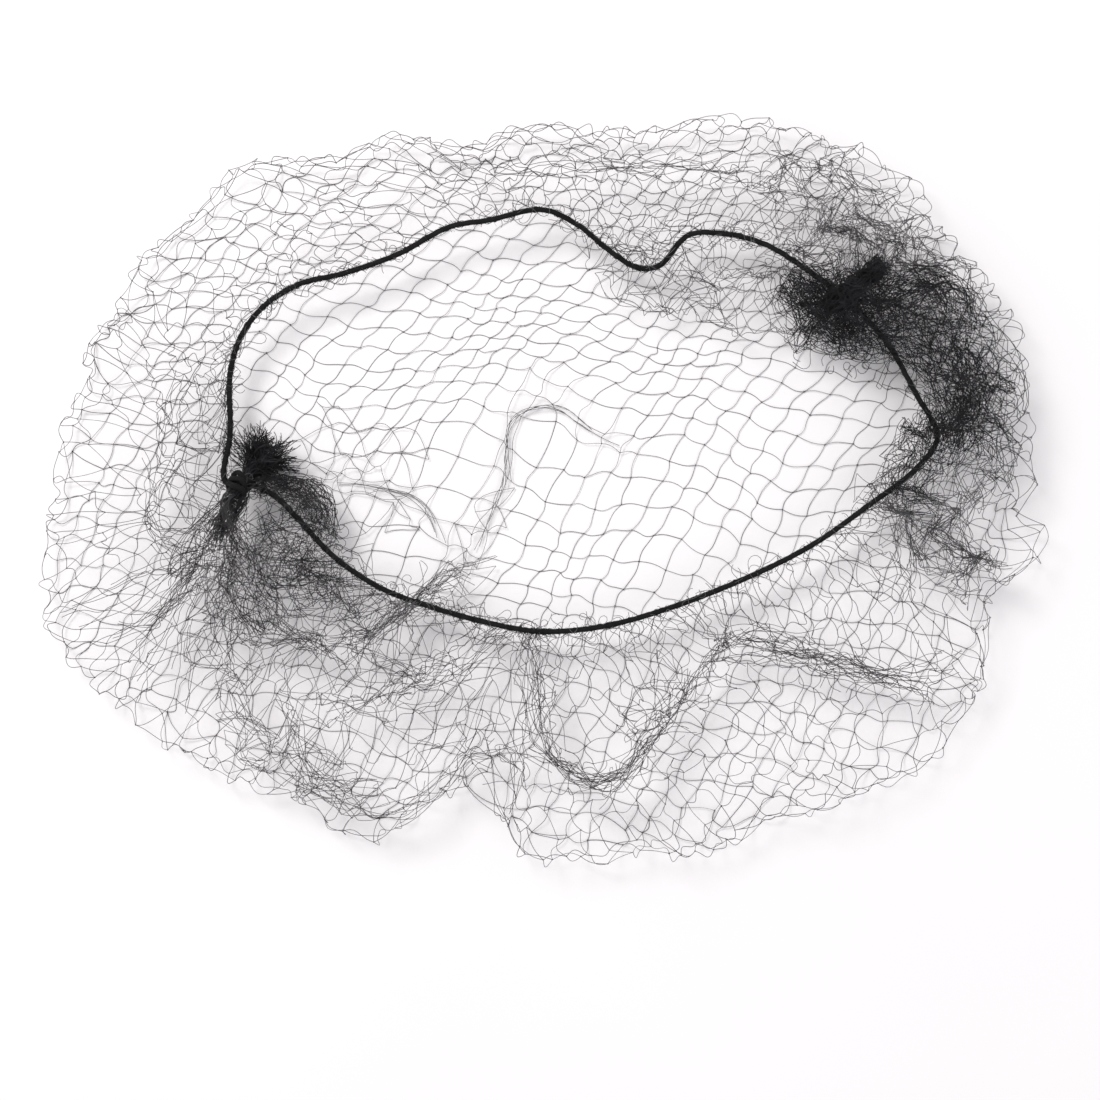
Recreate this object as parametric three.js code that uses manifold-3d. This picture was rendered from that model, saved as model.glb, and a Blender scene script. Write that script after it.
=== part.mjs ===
// A light nylon hairnet lying open on a table, elastic edge upwards, as it is before it is put on.
// The net is one bag: its crown lies flat on the table, its side turns up over a round outer fold and
// comes back inwards to the elastic cord. The ends of the net are drawn together in two gathers. The
// cord is knotted round the left one.
// Millimetres. +X along the net, +Y across it, +Z up. The net rests on z = 0, round the origin.

import * as THREE from "three";
import { mergeVertices } from "three/addons/utils/BufferGeometryUtils.js";
import Module from "manifold-3d";

const wasm = await Module();
wasm.setup();

// Driving dimensions

const NET_LENGTH = 238; // over the outer folds, along X
const NET_WIDTH = 176; // over the outer folds, along Y
const NET_LOFT = 14; // how high the side stands at its fullest
const NET_WALL = 1.2;
const FOLD_REACH = 6; // how far the round outer fold reaches in from the outline
const FOLD_LIFT = 3.5; // how high the bunched folds stand out of the side
const FOLD_WIDTH = 4.5;
const CREASE_LIFT = 1.8; // how high the crease in the crown stands
const MESH_PITCH = 25; // one gap to the next, along either family of strands
const STRAND_WIDTH = 2.6;
const CROWN_HEIGHT = 4.8; // of the line round the outer fold where the crown ends and the side begins
const HEM_WIDTH = 2.2; // the band along the elastic that the strands end in
const HEM_SWELL = 0.15; // how much the hem stands out of the wall on each face
const SIDE_EASE = 0.58; // width of the side in the flat pattern, for each millimetre of the made-up side
const OPENING_LENGTH = 167; // the elastic's loop, along X
const OPENING_WIDTH = 99; // the same, along Y
const OPENING_X = 10.6; // centre of the loop
const OPENING_Y = 15.6;
const RIM_HEIGHT = 10; // of the cord's centreline over the table
const CORD_DIAMETER = 1.5;
const KNOT_TURNS = 3;
const NECK_DIAMETER = 3; // of the bundle of net that the cord is knotted round
const NECK_REACH = 7; // from the knot's middle to where the left gather's lobes begin
const LOBE_FLATNESS = 0.6; // thickness of the left gather's lobes as a share of their width
const LEFT_TUFT_LENGTH = 11;
const LEFT_TUFT_SPREAD = 42; // degrees from the tuft's axis to its outermost lock
const RIGHT_TUFT_LENGTH = 17; // from the middle of the gather
const RIGHT_TUFT_SPREAD = 14;
const GATHER_WIDTH = 19; // of the right gather at its widest
const GATHER_FLATNESS = 0.5;
const BUNDLE_RIB = 0.26; // how far every other edge of a bundle stands out, as a share of its width
const BUNDLE_PUCKER = 0.14; // how far every other section of a bundle is drawn in
const CLEARANCE = 0.4;

const STRAND_ANGLES = [64, -14]; // degrees from +X, of the two families of strands
const KNOT_HEADING = 56; // degrees from +X that the bundle through the knot points
const KNOT_RISE = -22; // and above the table: it points down into the crown

// Tables

// The outer fold seen from above, clockwise from the left. x and y are shares of half the net's
// length and width, loft a share of NET_LOFT.
const OUTLINE = [
  { x: -1.0, y: -0.3, loft: 0.85 },
  { x: -0.98, y: -0.02, loft: 0.7 },
  { x: -0.92, y: 0.27, loft: 0.8 },
  { x: -0.84, y: 0.52, loft: 0.7 },
  { x: -0.74, y: 0.7, loft: 0.85 },
  { x: -0.59, y: 0.84, loft: 0.75 },
  { x: -0.4, y: 0.9, loft: 0.9 },
  { x: -0.21, y: 0.94, loft: 0.8 },
  { x: 0.03, y: 0.98, loft: 0.95 },
  { x: 0.22, y: 0.97, loft: 0.8 },
  { x: 0.34, y: 1.0, loft: 0.95 },
  { x: 0.51, y: 0.98, loft: 0.9 },
  { x: 0.68, y: 0.87, loft: 1.0 },
  { x: 0.82, y: 0.7, loft: 0.95 },
  { x: 0.92, y: 0.53, loft: 1.0 },
  { x: 0.98, y: 0.36, loft: 0.85 },
  { x: 0.98, y: 0.13, loft: 0.95 },
  { x: 1.0, y: -0.06, loft: 0.8 },
  { x: 0.98, y: -0.21, loft: 0.95 },
  { x: 0.91, y: -0.32, loft: 0.75 },
  { x: 0.88, y: -0.5, loft: 0.9 },
  { x: 0.81, y: -0.7, loft: 0.75 },
  { x: 0.61, y: -0.85, loft: 0.95 },
  { x: 0.41, y: -0.94, loft: 0.75 },
  { x: 0.2, y: -0.99, loft: 0.95 },
  { x: -0.02, y: -1.0, loft: 0.85 },
  { x: -0.08, y: -0.93, loft: 0.7 },
  { x: -0.14, y: -0.83, loft: 0.6 },
  { x: -0.2, y: -0.87, loft: 0.75 },
  { x: -0.28, y: -0.94, loft: 0.9 },
  { x: -0.41, y: -0.95, loft: 0.75 },
  { x: -0.54, y: -0.85, loft: 0.9 },
  { x: -0.77, y: -0.68, loft: 0.75 },
  { x: -0.92, y: -0.5, loft: 0.9 },
];

// The elastic's loop seen from above, clockwise from the left of the knot to its right. x and y are
// shares of half the opening's length and width, height a share of RIM_HEIGHT.
const RIM = [
  { x: -1.0, y: -0.29, height: 1.1 },
  { x: -0.99, y: -0.06, height: 0.9 },
  { x: -0.99, y: 0.23, height: 0.85 },
  { x: -0.96, y: 0.4, height: 0.9 },
  { x: -0.89, y: 0.55, height: 1.0 },
  { x: -0.79, y: 0.65, height: 1.05 },
  { x: -0.67, y: 0.7, height: 1.0 },
  { x: -0.52, y: 0.79, height: 0.95 },
  { x: -0.37, y: 0.92, height: 1.05 },
  { x: -0.26, y: 0.95, height: 1.1 },
  { x: -0.11, y: 1.0, height: 1.1 },
  { x: -0.01, y: 0.93, height: 1.0 },
  { x: 0.08, y: 0.81, height: 0.9 },
  { x: 0.16, y: 0.73, height: 0.85 },
  { x: 0.22, y: 0.74, height: 0.85 },
  { x: 0.3, y: 0.88, height: 1.0 },
  { x: 0.39, y: 0.89, height: 1.05 },
  { x: 0.51, y: 0.84, height: 1.1 },
  { x: 0.63, y: 0.72, height: 1.1 },
  { x: 0.75, y: 0.57, height: 1.0 },
  { x: 0.86, y: 0.37, height: 1.0 },
  { x: 0.94, y: 0.13, height: 1.05 },
  { x: 1.0, y: -0.08, height: 1.1 },
  { x: 0.94, y: -0.23, height: 1.05 },
  { x: 0.81, y: -0.4, height: 0.95 },
  { x: 0.65, y: -0.59, height: 0.9 },
  { x: 0.46, y: -0.75, height: 0.9 },
  { x: 0.23, y: -0.9, height: 0.85 },
  { x: 0.05, y: -0.98, height: 0.85 },
  { x: -0.12, y: -1.0, height: 0.9 },
  { x: -0.26, y: -0.96, height: 0.95 },
  { x: -0.43, y: -0.88, height: 0.95 },
  { x: -0.57, y: -0.79, height: 0.9 },
  { x: -0.7, y: -0.64, height: 0.95 },
  { x: -0.8, y: -0.46, height: 1.0 },
  { x: -0.86, y: -0.36, height: 1.05 },
  { x: -0.92, y: -0.31, height: 1.1 },
];

// Bunched folds that run over the side, as lines of [x, y] shares of half the net's length and width,
// each with its height as a share of FOLD_LIFT.
const SIDE_FOLDS = [
  { lift: 1.0, line: [[0.01, -0.4], [0.02, -0.69], [0.13, -0.79], [0.3, -0.54], [0.37, -0.4]] },
  { lift: 0.9, line: [[0.37, -0.4], [0.58, -0.47], [0.86, -0.43]] },
  { lift: 0.8, line: [[-0.37, -0.42], [-0.26, -0.36], [-0.19, -0.29]] },
  { lift: 0.9, line: [[-0.65, -0.12], [-0.67, -0.24], [-0.76, -0.37], [-0.79, -0.45]] },
  { lift: 0.8, line: [[-0.61, -0.2], [-0.63, -0.42]] },
  { lift: 0.7, line: [[-0.15, -0.8], [-0.12, -0.72], [-0.03, -0.72], [-0.05, -0.85]] },
  { lift: 0.6, line: [[-0.5, -0.56], [-0.46, -0.74], [-0.33, -0.84]] },
  { lift: 0.7, line: [[-0.68, 0.34], [-0.73, 0.23], [-0.72, 0.08]] },
];

// The crease in the crown, the same way.
const CROWN_CREASES = [
  { lift: 1.0, line: [[-0.16, -0.3], [-0.07, 0.02], [-0.05, 0.18], [0.02, 0.22], [0.16, 0.1]] },
  { lift: 0.8, line: [[-0.4, 0.03], [-0.24, -0.03], [-0.18, -0.16]] },
];

// Lobes of the left gather: heading in degrees from +X, reach and girth as shares of NECK_DIAMETER.
const LEFT_LOBES = [
  { heading: -122, reach: 7.2, girth: 2.4 },
  { heading: -72, reach: 10.5, girth: 3.4 },
];

// The right gather's bundle from end to end. x and y are shares of half the net's length and width,
// girth a share of GATHER_WIDTH.
const RIGHT_GATHER = [
  { x: 0.49, y: 0.55, girth: 0.4 },
  { x: 0.58, y: 0.49, girth: 1.0 },
  { x: 0.69, y: 0.5, girth: 0.75 },
  { x: 0.79, y: 0.46, girth: 0.85 },
  { x: 0.86, y: 0.33, girth: 0.8 },
  { x: 0.86, y: 0.22, girth: 1.0 },
  { x: 0.82, y: 0.11, girth: 0.35 },
];
const RIGHT_TUFT_ROOT = 0.17; // where the right tuft grows, as a share of the bundle's length
const RIGHT_TUFT_HEADING = 62;
const RIGHT_TUFT_RISE = 20;

// Smoothness

const RIM_STEPS = 82; // round the hem and along the cord
const CORD_SIDES = 7;
const STRAND_STEPS = 4; // along one side of a gap, past the flat of the crown
const FACET_ERROR = 0.8; // how far a facet may stand off the bag's true shape
const FACET_TOLERANCE = 0.26; // how far a facet may move when flat ones are joined
const OVERRUN = 0.35; // most that the strands run on past the hem before they are trimmed
const CURVE_SAMPLES = 720;

const rad = THREE.MathUtils.degToRad;
const centre = new THREE.Vector2(OPENING_X, OPENING_Y);

// Curves and lookups

function smoothCurve(points, closed) {
  return new THREE.CatmullRomCurve3(points, closed, "centripetal");
}

// The outline, stretched so that the curve itself, not its control points, has the net's size.
// Its z holds the loft.
function outlinePoints() {
  const shares = OUTLINE.map((row) => new THREE.Vector3(row.x, row.y, row.loft));
  const samples = smoothCurve(shares, true).getPoints(CURVE_SAMPLES);
  const box = new THREE.Box3().setFromPoints(samples);
  const middle = box.getCenter(new THREE.Vector3());
  const size = box.getSize(new THREE.Vector3());
  return samples.map((p) => new THREE.Vector3(
    ((p.x - middle.x) / size.x) * NET_LENGTH,
    ((p.y - middle.y) / size.y) * NET_WIDTH,
    p.z * NET_LOFT,
  ));
}

function rimPoints() {
  return RIM.map((row) => new THREE.Vector3(
    OPENING_X + (row.x * OPENING_LENGTH) / 2,
    OPENING_Y + (row.y * OPENING_WIDTH) / 2,
    row.height * RIM_HEIGHT,
  ));
}

// The loop, moved outwards to where the net's edge lies beside the cord.
function hemPoints() {
  const loop = smoothCurve(rimPoints(), true);
  const aside = CORD_DIAMETER / 2 + 2 * CLEARANCE;
  return Array.from({ length: CURVE_SAMPLES }, (_, i) => {
    const u = i / CURVE_SAMPLES;
    const along = loop.getTangentAt(u);
    const outwards = new THREE.Vector3(-along.y, along.x, 0).normalize();
    return loop.getPointAt(u).addScaledVector(outwards, aside);
  });
}

// A lookup from an angle round the opening's centre to the curve's radius and height there.
function polar(points) {
  const rows = points
    .map((p) => ({
      angle: Math.atan2(p.y - centre.y, p.x - centre.x),
      radius: Math.hypot(p.x - centre.x, p.y - centre.y),
      height: p.z,
    }))
    .sort((a, b) => a.angle - b.angle);
  const turn = (x) => (x + 4 * Math.PI) % (2 * Math.PI);
  return (angle) => {
    const signed = turn(angle + Math.PI) - Math.PI;
    const found = rows.findIndex((row) => row.angle > signed);
    const next = found < 0 ? 0 : found;
    const b = rows[next];
    const a = rows[(next + rows.length - 1) % rows.length];
    const share = turn(signed - a.angle) / (turn(b.angle - a.angle) || 1);
    return {
      radius: THREE.MathUtils.lerp(a.radius, b.radius, share),
      height: THREE.MathUtils.lerp(a.height, b.height, share),
    };
  };
}

const outlineAt = polar(outlinePoints());
const hemAt = polar(hemPoints());

function distanceToLine(x, y, line) {
  const point = new THREE.Vector3(x, y, 0);
  const corners = line.map(([sx, sy]) => new THREE.Vector3((sx * NET_LENGTH) / 2, (sy * NET_WIDTH) / 2, 0));
  const nearest = new THREE.Vector3();
  return Math.min(...corners.slice(1).map((end, i) => {
    new THREE.Line3(corners[i], end).closestPointToPoint(point, true, nearest);
    return nearest.distanceTo(point);
  }));
}

// How much a set of folds lifts the net at one place.
function foldLift(x, y, folds, height) {
  return folds.reduce((most, fold) => {
    const away = distanceToLine(x, y, fold.line) / FOLD_WIDTH;
    return Math.max(most, fold.lift * height * Math.exp(-away * away));
  }, 0);
}

// The net bag

// What the bag does at one angle round the opening: the section's sizes, and how wide the side is in
// the flat pattern.
function sectionAt(angle) {
  const outline = outlineAt(angle);
  const hem = hemAt(angle);
  const turnStart = outline.radius - FOLD_REACH;
  const arc = (Math.PI / 2) * (FOLD_REACH + outline.height / 2);
  const made = arc + Math.abs(turnStart - hem.radius);
  return { outline, hem, turnStart, arcShare: arc / made, side: made * SIDE_EASE };
}

// Where a point of the flat pattern lies once the bag is made up, on the bag's outer face. Past the hem
// the surface runs on into the opening, by ever less.
function sheetPoint(x, y) {
  const angle = Math.atan2(y, x);
  const reach = Math.hypot(x, y);
  const { outline, hem, turnStart, arcShare, side } = sectionAt(angle);
  const share = (reach - outline.radius) / side;
  const straight = (share - arcShare) / (1 - arcShare);
  const back = straight > 1 ? 1 + OVERRUN * (1 - Math.exp((1 - straight) / OVERRUN)) : straight;
  const turned = THREE.MathUtils.clamp(share / arcShare, 0, 1) * Math.PI;
  const run = THREE.MathUtils.clamp(back, 0, 1);
  let radius = turnStart + FOLD_REACH * Math.sin(turned);
  let height = (outline.height / 2) * (1 - Math.cos(turned));
  if (share < 0) radius = (reach * turnStart) / outline.radius;
  if (back > 0) {
    radius = THREE.MathUtils.lerp(turnStart, hem.radius, back);
    height += (hem.height + NET_WALL / 2 - outline.height) * run * run * (3 - 2 * run);
  }
  const px = centre.x + radius * Math.cos(angle);
  const py = centre.y + radius * Math.sin(angle);
  if (share < 0) height += foldLift(px, py, CROWN_CREASES, CREASE_LIFT);
  if (back > 0) height += Math.sin(Math.PI * run) * foldLift(px, py, SIDE_FOLDS, FOLD_LIFT);
  return new THREE.Vector3(px, py, height);
}

// The direction into the bag at a point of the flat pattern.
function inwards(x, y) {
  const step = 0.05;
  const dx = sheetPoint(x + step, y).sub(sheetPoint(x - step, y));
  const dy = sheetPoint(x, y + step).sub(sheetPoint(x, y - step));
  return dx.cross(dy).normalize();
}

function patternReach(angle) {
  const { outline, side } = sectionAt(angle);
  return outline.radius + side;
}

// The corners of one cell of the lattice of strands, shrunk by a share of its size.
function cellCorners(column, row, shrink) {
  const [a, b] = STRAND_ANGLES.map((angle) => {
    return new THREE.Vector2(Math.cos(rad(angle)), Math.sin(rad(angle))).multiplyScalar(MESH_PITCH);
  });
  const half = (1 - shrink) / 2;
  return [[-half, -half], [-half, half], [half, half], [half, -half]].map(([i, j]) => {
    return a.clone().multiplyScalar(column + i).addScaledVector(b, row + j);
  });
}

// Every cell that has a corner within the hem, by its place in the lattice.
function cellsOfNet() {
  const most = Math.ceil((NET_LENGTH + NET_WIDTH) / MESH_PITCH);
  const cells = new Map();
  for (let column = -most; column <= most; column++) {
    for (let row = -most; row <= most; row++) {
      const within = cellCorners(column, row, 0).some((p) => p.length() < patternReach(p.angle()));
      if (within) cells.set(`${column},${row}`, { column, row });
    }
  }
  return cells;
}

// The flat pattern: a frame of strands round each gap, with the wall's thickness.
function strandSheet() {
  const shrink = STRAND_WIDTH / (MESH_PITCH * Math.sin(rad(STRAND_ANGLES[0] - STRAND_ANGLES[1])));
  const neighbours = [[-1, 0], [0, 1], [1, 0], [0, -1]];
  const cells = cellsOfNet();
  const points = [];
  const face = (a, b, c, d) => points.push(a, b, c, a, c, d);
  for (const { column, row } of cells.values()) {
    const outer = cellCorners(column, row, 0);
    const inner = cellCorners(column, row, shrink);
    neighbours.forEach(([i, j], n) => {
      const next = (n + 1) % 4;
      const flat = [outer[n], outer[next]].every((p) => p.length() < outlineAt(p.angle()).radius - FOLD_REACH);
      const steps = flat ? 1 : STRAND_STEPS;
      const corner = (ends, k, depth) => {
        const p = ends[n].clone().lerp(ends[next], k / steps);
        return new THREE.Vector3(p.x, p.y, depth);
      };
      for (let k = 0; k < steps; k++) {
        const [o0, o1] = [0, NET_WALL].map((depth) => corner(outer, k, depth));
        const [p0, p1] = [0, NET_WALL].map((depth) => corner(outer, k + 1, depth));
        const [q0, q1] = [0, NET_WALL].map((depth) => corner(inner, k, depth));
        const [r0, r1] = [0, NET_WALL].map((depth) => corner(inner, k + 1, depth));
        face(o0, q0, r0, p0);
        face(o1, p1, r1, q1);
        face(q0, q1, r1, r0);
        if (!cells.has(`${column + i},${row + j}`)) face(o0, p0, p1, o1);
      }
    });
  }
  return new THREE.BufferGeometry().setFromPoints(points);
}

// Solids

function solid(geometry) {
  const bare = geometry.index ? geometry.toNonIndexed() : geometry.clone();
  bare.deleteAttribute("normal");
  bare.deleteAttribute("uv");
  const merged = mergeVertices(bare, 1e-4);
  return new wasm.Manifold(new wasm.Mesh({
    numProp: 3,
    vertProperties: merged.attributes.position.array,
    triVerts: new Uint32Array(merged.index.array),
  }));
}

function geometryOf(manifold) {
  const { vertProperties, triVerts, numProp, numVert } = manifold.getMesh();
  const position = new Float32Array(numVert * 3);
  for (let i = 0; i < numVert; i++) position.set(vertProperties.subarray(i * numProp, i * numProp + 3), i * 3);
  const geometry = new THREE.BufferGeometry();
  geometry.setAttribute("position", new THREE.BufferAttribute(position, 3));
  geometry.setIndex(new THREE.BufferAttribute(triVerts, 1));
  return geometry;
}

function fuse(solids) {
  return solids.reduce((whole, part) => whole.add(part));
}

// What is left of a solid that was cut, without the crumbs that the cut made.
function largest(manifold) {
  return manifold.decompose().reduce((a, b) => (a.volume() > b.volume() ? a : b));
}

// A ring-shaped solid whose cross-section, a closed row of points, is given for each angle round it.
function ringSolid(sectionOf) {
  const sections = Array.from({ length: RIM_STEPS }, (_, i) => sectionOf((2 * Math.PI * i) / RIM_STEPS));
  const count = sections[0].length;
  const index = sections.flatMap((_, i) => Array.from({ length: count }, (_, j) => {
    const [here, onwards] = [i * count, ((i + 1) % RIM_STEPS) * count];
    const [a, b, c, d] = [here + j, here + ((j + 1) % count), onwards + j, onwards + ((j + 1) % count)];
    return [a, c, b, b, c, d];
  })).flat();
  const geometry = new THREE.BufferGeometry().setFromPoints(sections.flat());
  geometry.setIndex(index);
  return solid(geometry);
}

// A band of the made-up bag, from one distance before the hem to another in the flat pattern, its
// wall thickened both ways by what it is given to spare.
function bandSolid({ from, to, runs, spare }) {
  return ringSolid((angle) => {
    const faces = Array.from({ length: runs + 1 }, (_, k) => {
      const reach = patternReach(angle) - THREE.MathUtils.lerp(from(angle), to, k / runs);
      const [x, y] = [reach * Math.cos(angle), reach * Math.sin(angle)];
      return [-spare, NET_WALL + spare].map((depth) => sheetPoint(x, y).addScaledVector(inwards(x, y), depth));
    });
    return [...faces.map(([outer]) => outer), ...faces.map(([, inner]) => inner).reverse()];
  });
}

// Everything over the opening, for trimming the strands where the hem runs.
function openingSolid() {
  const edge = Array.from({ length: RIM_STEPS }, (_, i) => {
    const angle = (2 * Math.PI * i) / RIM_STEPS;
    const reach = hemAt(angle).radius + HEM_WIDTH / 2;
    return new THREE.Vector2(centre.x + reach * Math.cos(angle), centre.y + reach * Math.sin(angle));
  });
  const depth = 2 * RIM_HEIGHT;
  return solid(new THREE.ExtrudeGeometry(new THREE.Shape(edge), { depth, steps: 1, bevelEnabled: false })
    .translate(0, 0, RIM_HEIGHT / 2));
}

// The made-up bag: the strands of the flat pattern bent to its shape, and the hem round their ends.
function netSolid() {
  const strands = solid(strandSheet()).warp((v) => {
    const point = sheetPoint(v[0], v[1]).addScaledVector(inwards(v[0], v[1]), v[2]);
    [v[0], v[1], v[2]] = point.toArray();
  });
  const hem = bandSolid({ from: () => HEM_WIDTH * SIDE_EASE, to: 0, runs: 1, spare: HEM_SWELL });
  return strands.simplify(FACET_TOLERANCE).subtract(openingSolid()).add(hem);
}

// A bundle of gathered net along a curve: half as wide as halfWidthAt gives for each share of the
// length, flattened, ribbed along it and puckered across it.
function bundle(curve, halfWidthAt, { sides, steps, flatness }) {
  const tube = new THREE.CylinderGeometry(1, 1, 1, sides, steps);
  const position = tube.getAttribute("position");
  for (let i = 0; i < position.count; i++) {
    const share = position.getY(i) + 0.5;
    const across = new THREE.Vector2(position.getX(i), position.getZ(i));
    const rib = Math.round((across.angle() / Math.PI) * (sides / 2)) % 2;
    const pucker = Math.round(share * steps) % 2;
    across.multiplyScalar(halfWidthAt(share) * (1 + BUNDLE_RIB * rib) * (1 - BUNDLE_PUCKER * pucker));
    const onwards = curve.getTangentAt(share);
    const sideways = new THREE.Vector3(onwards.y, -onwards.x, 0).normalize();
    const upwards = sideways.clone().cross(onwards);
    const point = curve.getPointAt(share)
      .addScaledVector(sideways, across.x)
      .addScaledVector(upwards, across.y * flatness);
    position.setXYZ(i, point.x, point.y, point.z);
  }
  return solid(tube);
}

function direction(heading, rise) {
  return new THREE.Vector3(
    Math.cos(rad(heading)) * Math.cos(rad(rise)),
    Math.sin(rad(heading)) * Math.cos(rad(rise)),
    Math.sin(rad(rise)),
  );
}

// Turns and moves a geometry made along +Z so that it runs along a direction from a point.
function along(geometry, from, towards) {
  const turn = new THREE.Quaternion().setFromUnitVectors(new THREE.Vector3(0, 0, 1), towards);
  return geometry.applyQuaternion(turn).translate(from.x, from.y, from.z);
}

// The elastic cord and its knot

const cordRoute = smoothCurve(rimPoints(), false);
const knotPoint = rimPoints()[0].lerp(rimPoints().at(-1), 0.5);
const knotAxis = direction(KNOT_HEADING, KNOT_RISE);
const knotPitch = CORD_DIAMETER * 1.04;
const knotLength = (KNOT_TURNS + 1) * knotPitch;
const coilRadius = NECK_DIAMETER / 2 + CLEARANCE + CORD_DIAMETER / 2;

function onKnotAxis(distance) {
  return knotPoint.clone().addScaledVector(knotAxis, distance);
}

function roundSection(radius, sides) {
  const points = Array.from({ length: sides }, (_, i) => {
    const angle = (2 * Math.PI * i) / sides;
    return new THREE.Vector2(Math.cos(angle), Math.sin(angle)).multiplyScalar(radius);
  });
  return new THREE.Shape(points);
}

function tube(path, diameter, steps) {
  return solid(new THREE.ExtrudeGeometry(roundSection(diameter / 2, CORD_SIDES), {
    extrudePath: path,
    steps,
  }));
}

// A round rod along the knot's axis.
function rodOnKnotAxis(radius, from, to) {
  const rod = new THREE.CylinderGeometry(radius, radius, to - from, 18).rotateX(Math.PI / 2);
  return solid(along(rod, onKnotAxis((from + to) / 2), knotAxis));
}

// The space that the knot takes, with the clearance round it.
function knotRoom() {
  const half = knotLength / 2 + CLEARANCE;
  return rodOnKnotAxis(coilRadius + CORD_DIAMETER / 2 + CLEARANCE, -half, half);
}

function cordSolid(spare) {
  return tube(cordRoute, CORD_DIAMETER + 2 * spare, RIM_STEPS);
}

// The cord's two ends wound round the bundle of net.
function knotSolid() {
  const turnSteps = 12;
  const points = Array.from({ length: KNOT_TURNS * turnSteps + 1 }, (_, i) => {
    const angle = (2 * Math.PI * i) / turnSteps;
    const rise = (i / turnSteps - KNOT_TURNS / 2) * knotPitch;
    return new THREE.Vector3(Math.cos(angle) * coilRadius, Math.sin(angle) * coilRadius, rise);
  });
  const coil = tube(smoothCurve(points, false), CORD_DIAMETER, KNOT_TURNS * turnSteps);
  return solid(along(geometryOf(coil), knotPoint, knotAxis));
}

// Gathers and tufts

// Locks that fan out of a rounded head.
function tuftSolid({ root, axis, neck, length, spread }) {
  const locks = 12;
  const goldenAngle = Math.PI * (3 - Math.sqrt(5));
  const parts = [solid(new THREE.SphereGeometry(neck * 0.75, 12, 8))];
  for (let i = 0; i < locks; i++) {
    const tilt = rad(spread) * Math.sqrt((i + 0.5) / locks);
    const reach = length * (1 - 0.14 * (i % 3));
    const lock = new THREE.ConeGeometry(neck * 0.3, reach, 6, 1)
      .rotateX(Math.PI / 2)
      .translate(0, 0, reach / 2)
      .rotateY(tilt)
      .rotateZ(i * goldenAngle);
    parts.push(solid(lock));
  }
  return solid(along(geometryOf(fuse(parts)), root, axis));
}

// How high the bag's side stands at one place, from above.
function sideTop(x, y) {
  const angle = Math.atan2(y - centre.y, x - centre.x);
  const { outline, hem, turnStart } = sectionAt(angle);
  const radius = Math.hypot(x - centre.x, y - centre.y);
  const back = THREE.MathUtils.clamp((turnStart - radius) / (turnStart - hem.radius), 0, 1);
  return THREE.MathUtils.lerp(outline.height, hem.height, back);
}

// The part of the bundle that leads from the knot out of the hem.
function neckSolid(spare) {
  return rodOnKnotAxis(NECK_DIAMETER / 2 + spare, -NECK_REACH, -knotLength / 2);
}

// The net's left end, drawn together at the knot: its lobes spread over the side, and its cut end
// stands out of the knot's other side as a tuft.
function leftGatherSolid() {
  const start = onKnotAxis(-NECK_REACH + NECK_DIAMETER / 2);
  const lobes = LEFT_LOBES.map((lobe) => {
    const reach = lobe.reach * NECK_DIAMETER;
    const out = start.clone().addScaledVector(direction(lobe.heading, 0), reach);
    const bend = start.clone().lerp(out, 0.4);
    out.z = sideTop(out.x, out.y) + (lobe.girth * NECK_DIAMETER * LOBE_FLATNESS) / 4;
    bend.z = sideTop(bend.x, bend.y) + (lobe.girth * NECK_DIAMETER * LOBE_FLATNESS) / 2;
    const halfWidthAt = (share) => {
      const swell = THREE.MathUtils.lerp(1, lobe.girth, Math.sin(Math.PI * share ** 1.3));
      return (swell * NECK_DIAMETER) / 2;
    };
    return bundle(new THREE.QuadraticBezierCurve3(start, bend, out), halfWidthAt, {
      sides: 14,
      steps: 9,
      flatness: LOBE_FLATNESS,
    });
  });
  return fuse(lobes);
}

function leftTuftSolid() {
  const head = knotLength / 2 + NECK_DIAMETER;
  const tuft = tuftSolid({
    root: onKnotAxis(head),
    axis: knotAxis,
    neck: NECK_DIAMETER,
    length: LEFT_TUFT_LENGTH,
    spread: LEFT_TUFT_SPREAD,
  });
  return tuft.add(rodOnKnotAxis(NECK_DIAMETER / 2, -knotLength / 2, head));
}

// The net's right end, drawn together into a thick bundle that lies on the side, with its cut end
// standing out as a narrow tuft.
function rightGatherSolid() {
  const rows = RIGHT_GATHER.map((row) => {
    const x = (row.x * NET_LENGTH) / 2;
    const y = (row.y * NET_WIDTH) / 2;
    return new THREE.Vector3(x, y, sideTop(x, y) + (row.girth * GATHER_WIDTH * GATHER_FLATNESS) / 4);
  });
  const curve = smoothCurve(rows, false);
  const last = RIGHT_GATHER.length - 1;
  const halfWidthAt = (share) => {
    const at = Math.min(Math.floor(share * last), last - 1);
    const girth = THREE.MathUtils.lerp(RIGHT_GATHER[at].girth, RIGHT_GATHER[at + 1].girth, share * last - at);
    return (girth * GATHER_WIDTH) / 2;
  };
  const body = bundle(curve, halfWidthAt, { sides: 16, steps: 14, flatness: GATHER_FLATNESS });
  const tuft = tuftSolid({
    root: curve.getPointAt(RIGHT_TUFT_ROOT),
    axis: direction(RIGHT_TUFT_HEADING, RIGHT_TUFT_RISE),
    neck: NECK_DIAMETER * 1.5,
    length: RIGHT_TUFT_LENGTH,
    spread: RIGHT_TUFT_SPREAD,
  });
  return body.add(tuft);
}

// Assembly

const knotSpace = knotRoom();
const cordSpace = cordSolid(CLEARANCE);
const sideSpace = bandSolid({
  from: (angle) => sectionAt(angle).side,
  to: -CLEARANCE,
  runs: 14,
  spare: CLEARANCE + FACET_ERROR,
});
const leftLobes = leftGatherSolid().subtract(sideSpace.add(cordSpace).add(knotSpace));
const net = largest(netSolid().subtract(cordSpace.add(knotSpace).add(neckSolid(CLEARANCE))));
const [side, crown] = net.splitByPlane([0, 0, 1], CROWN_HEIGHT).map(largest);

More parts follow.
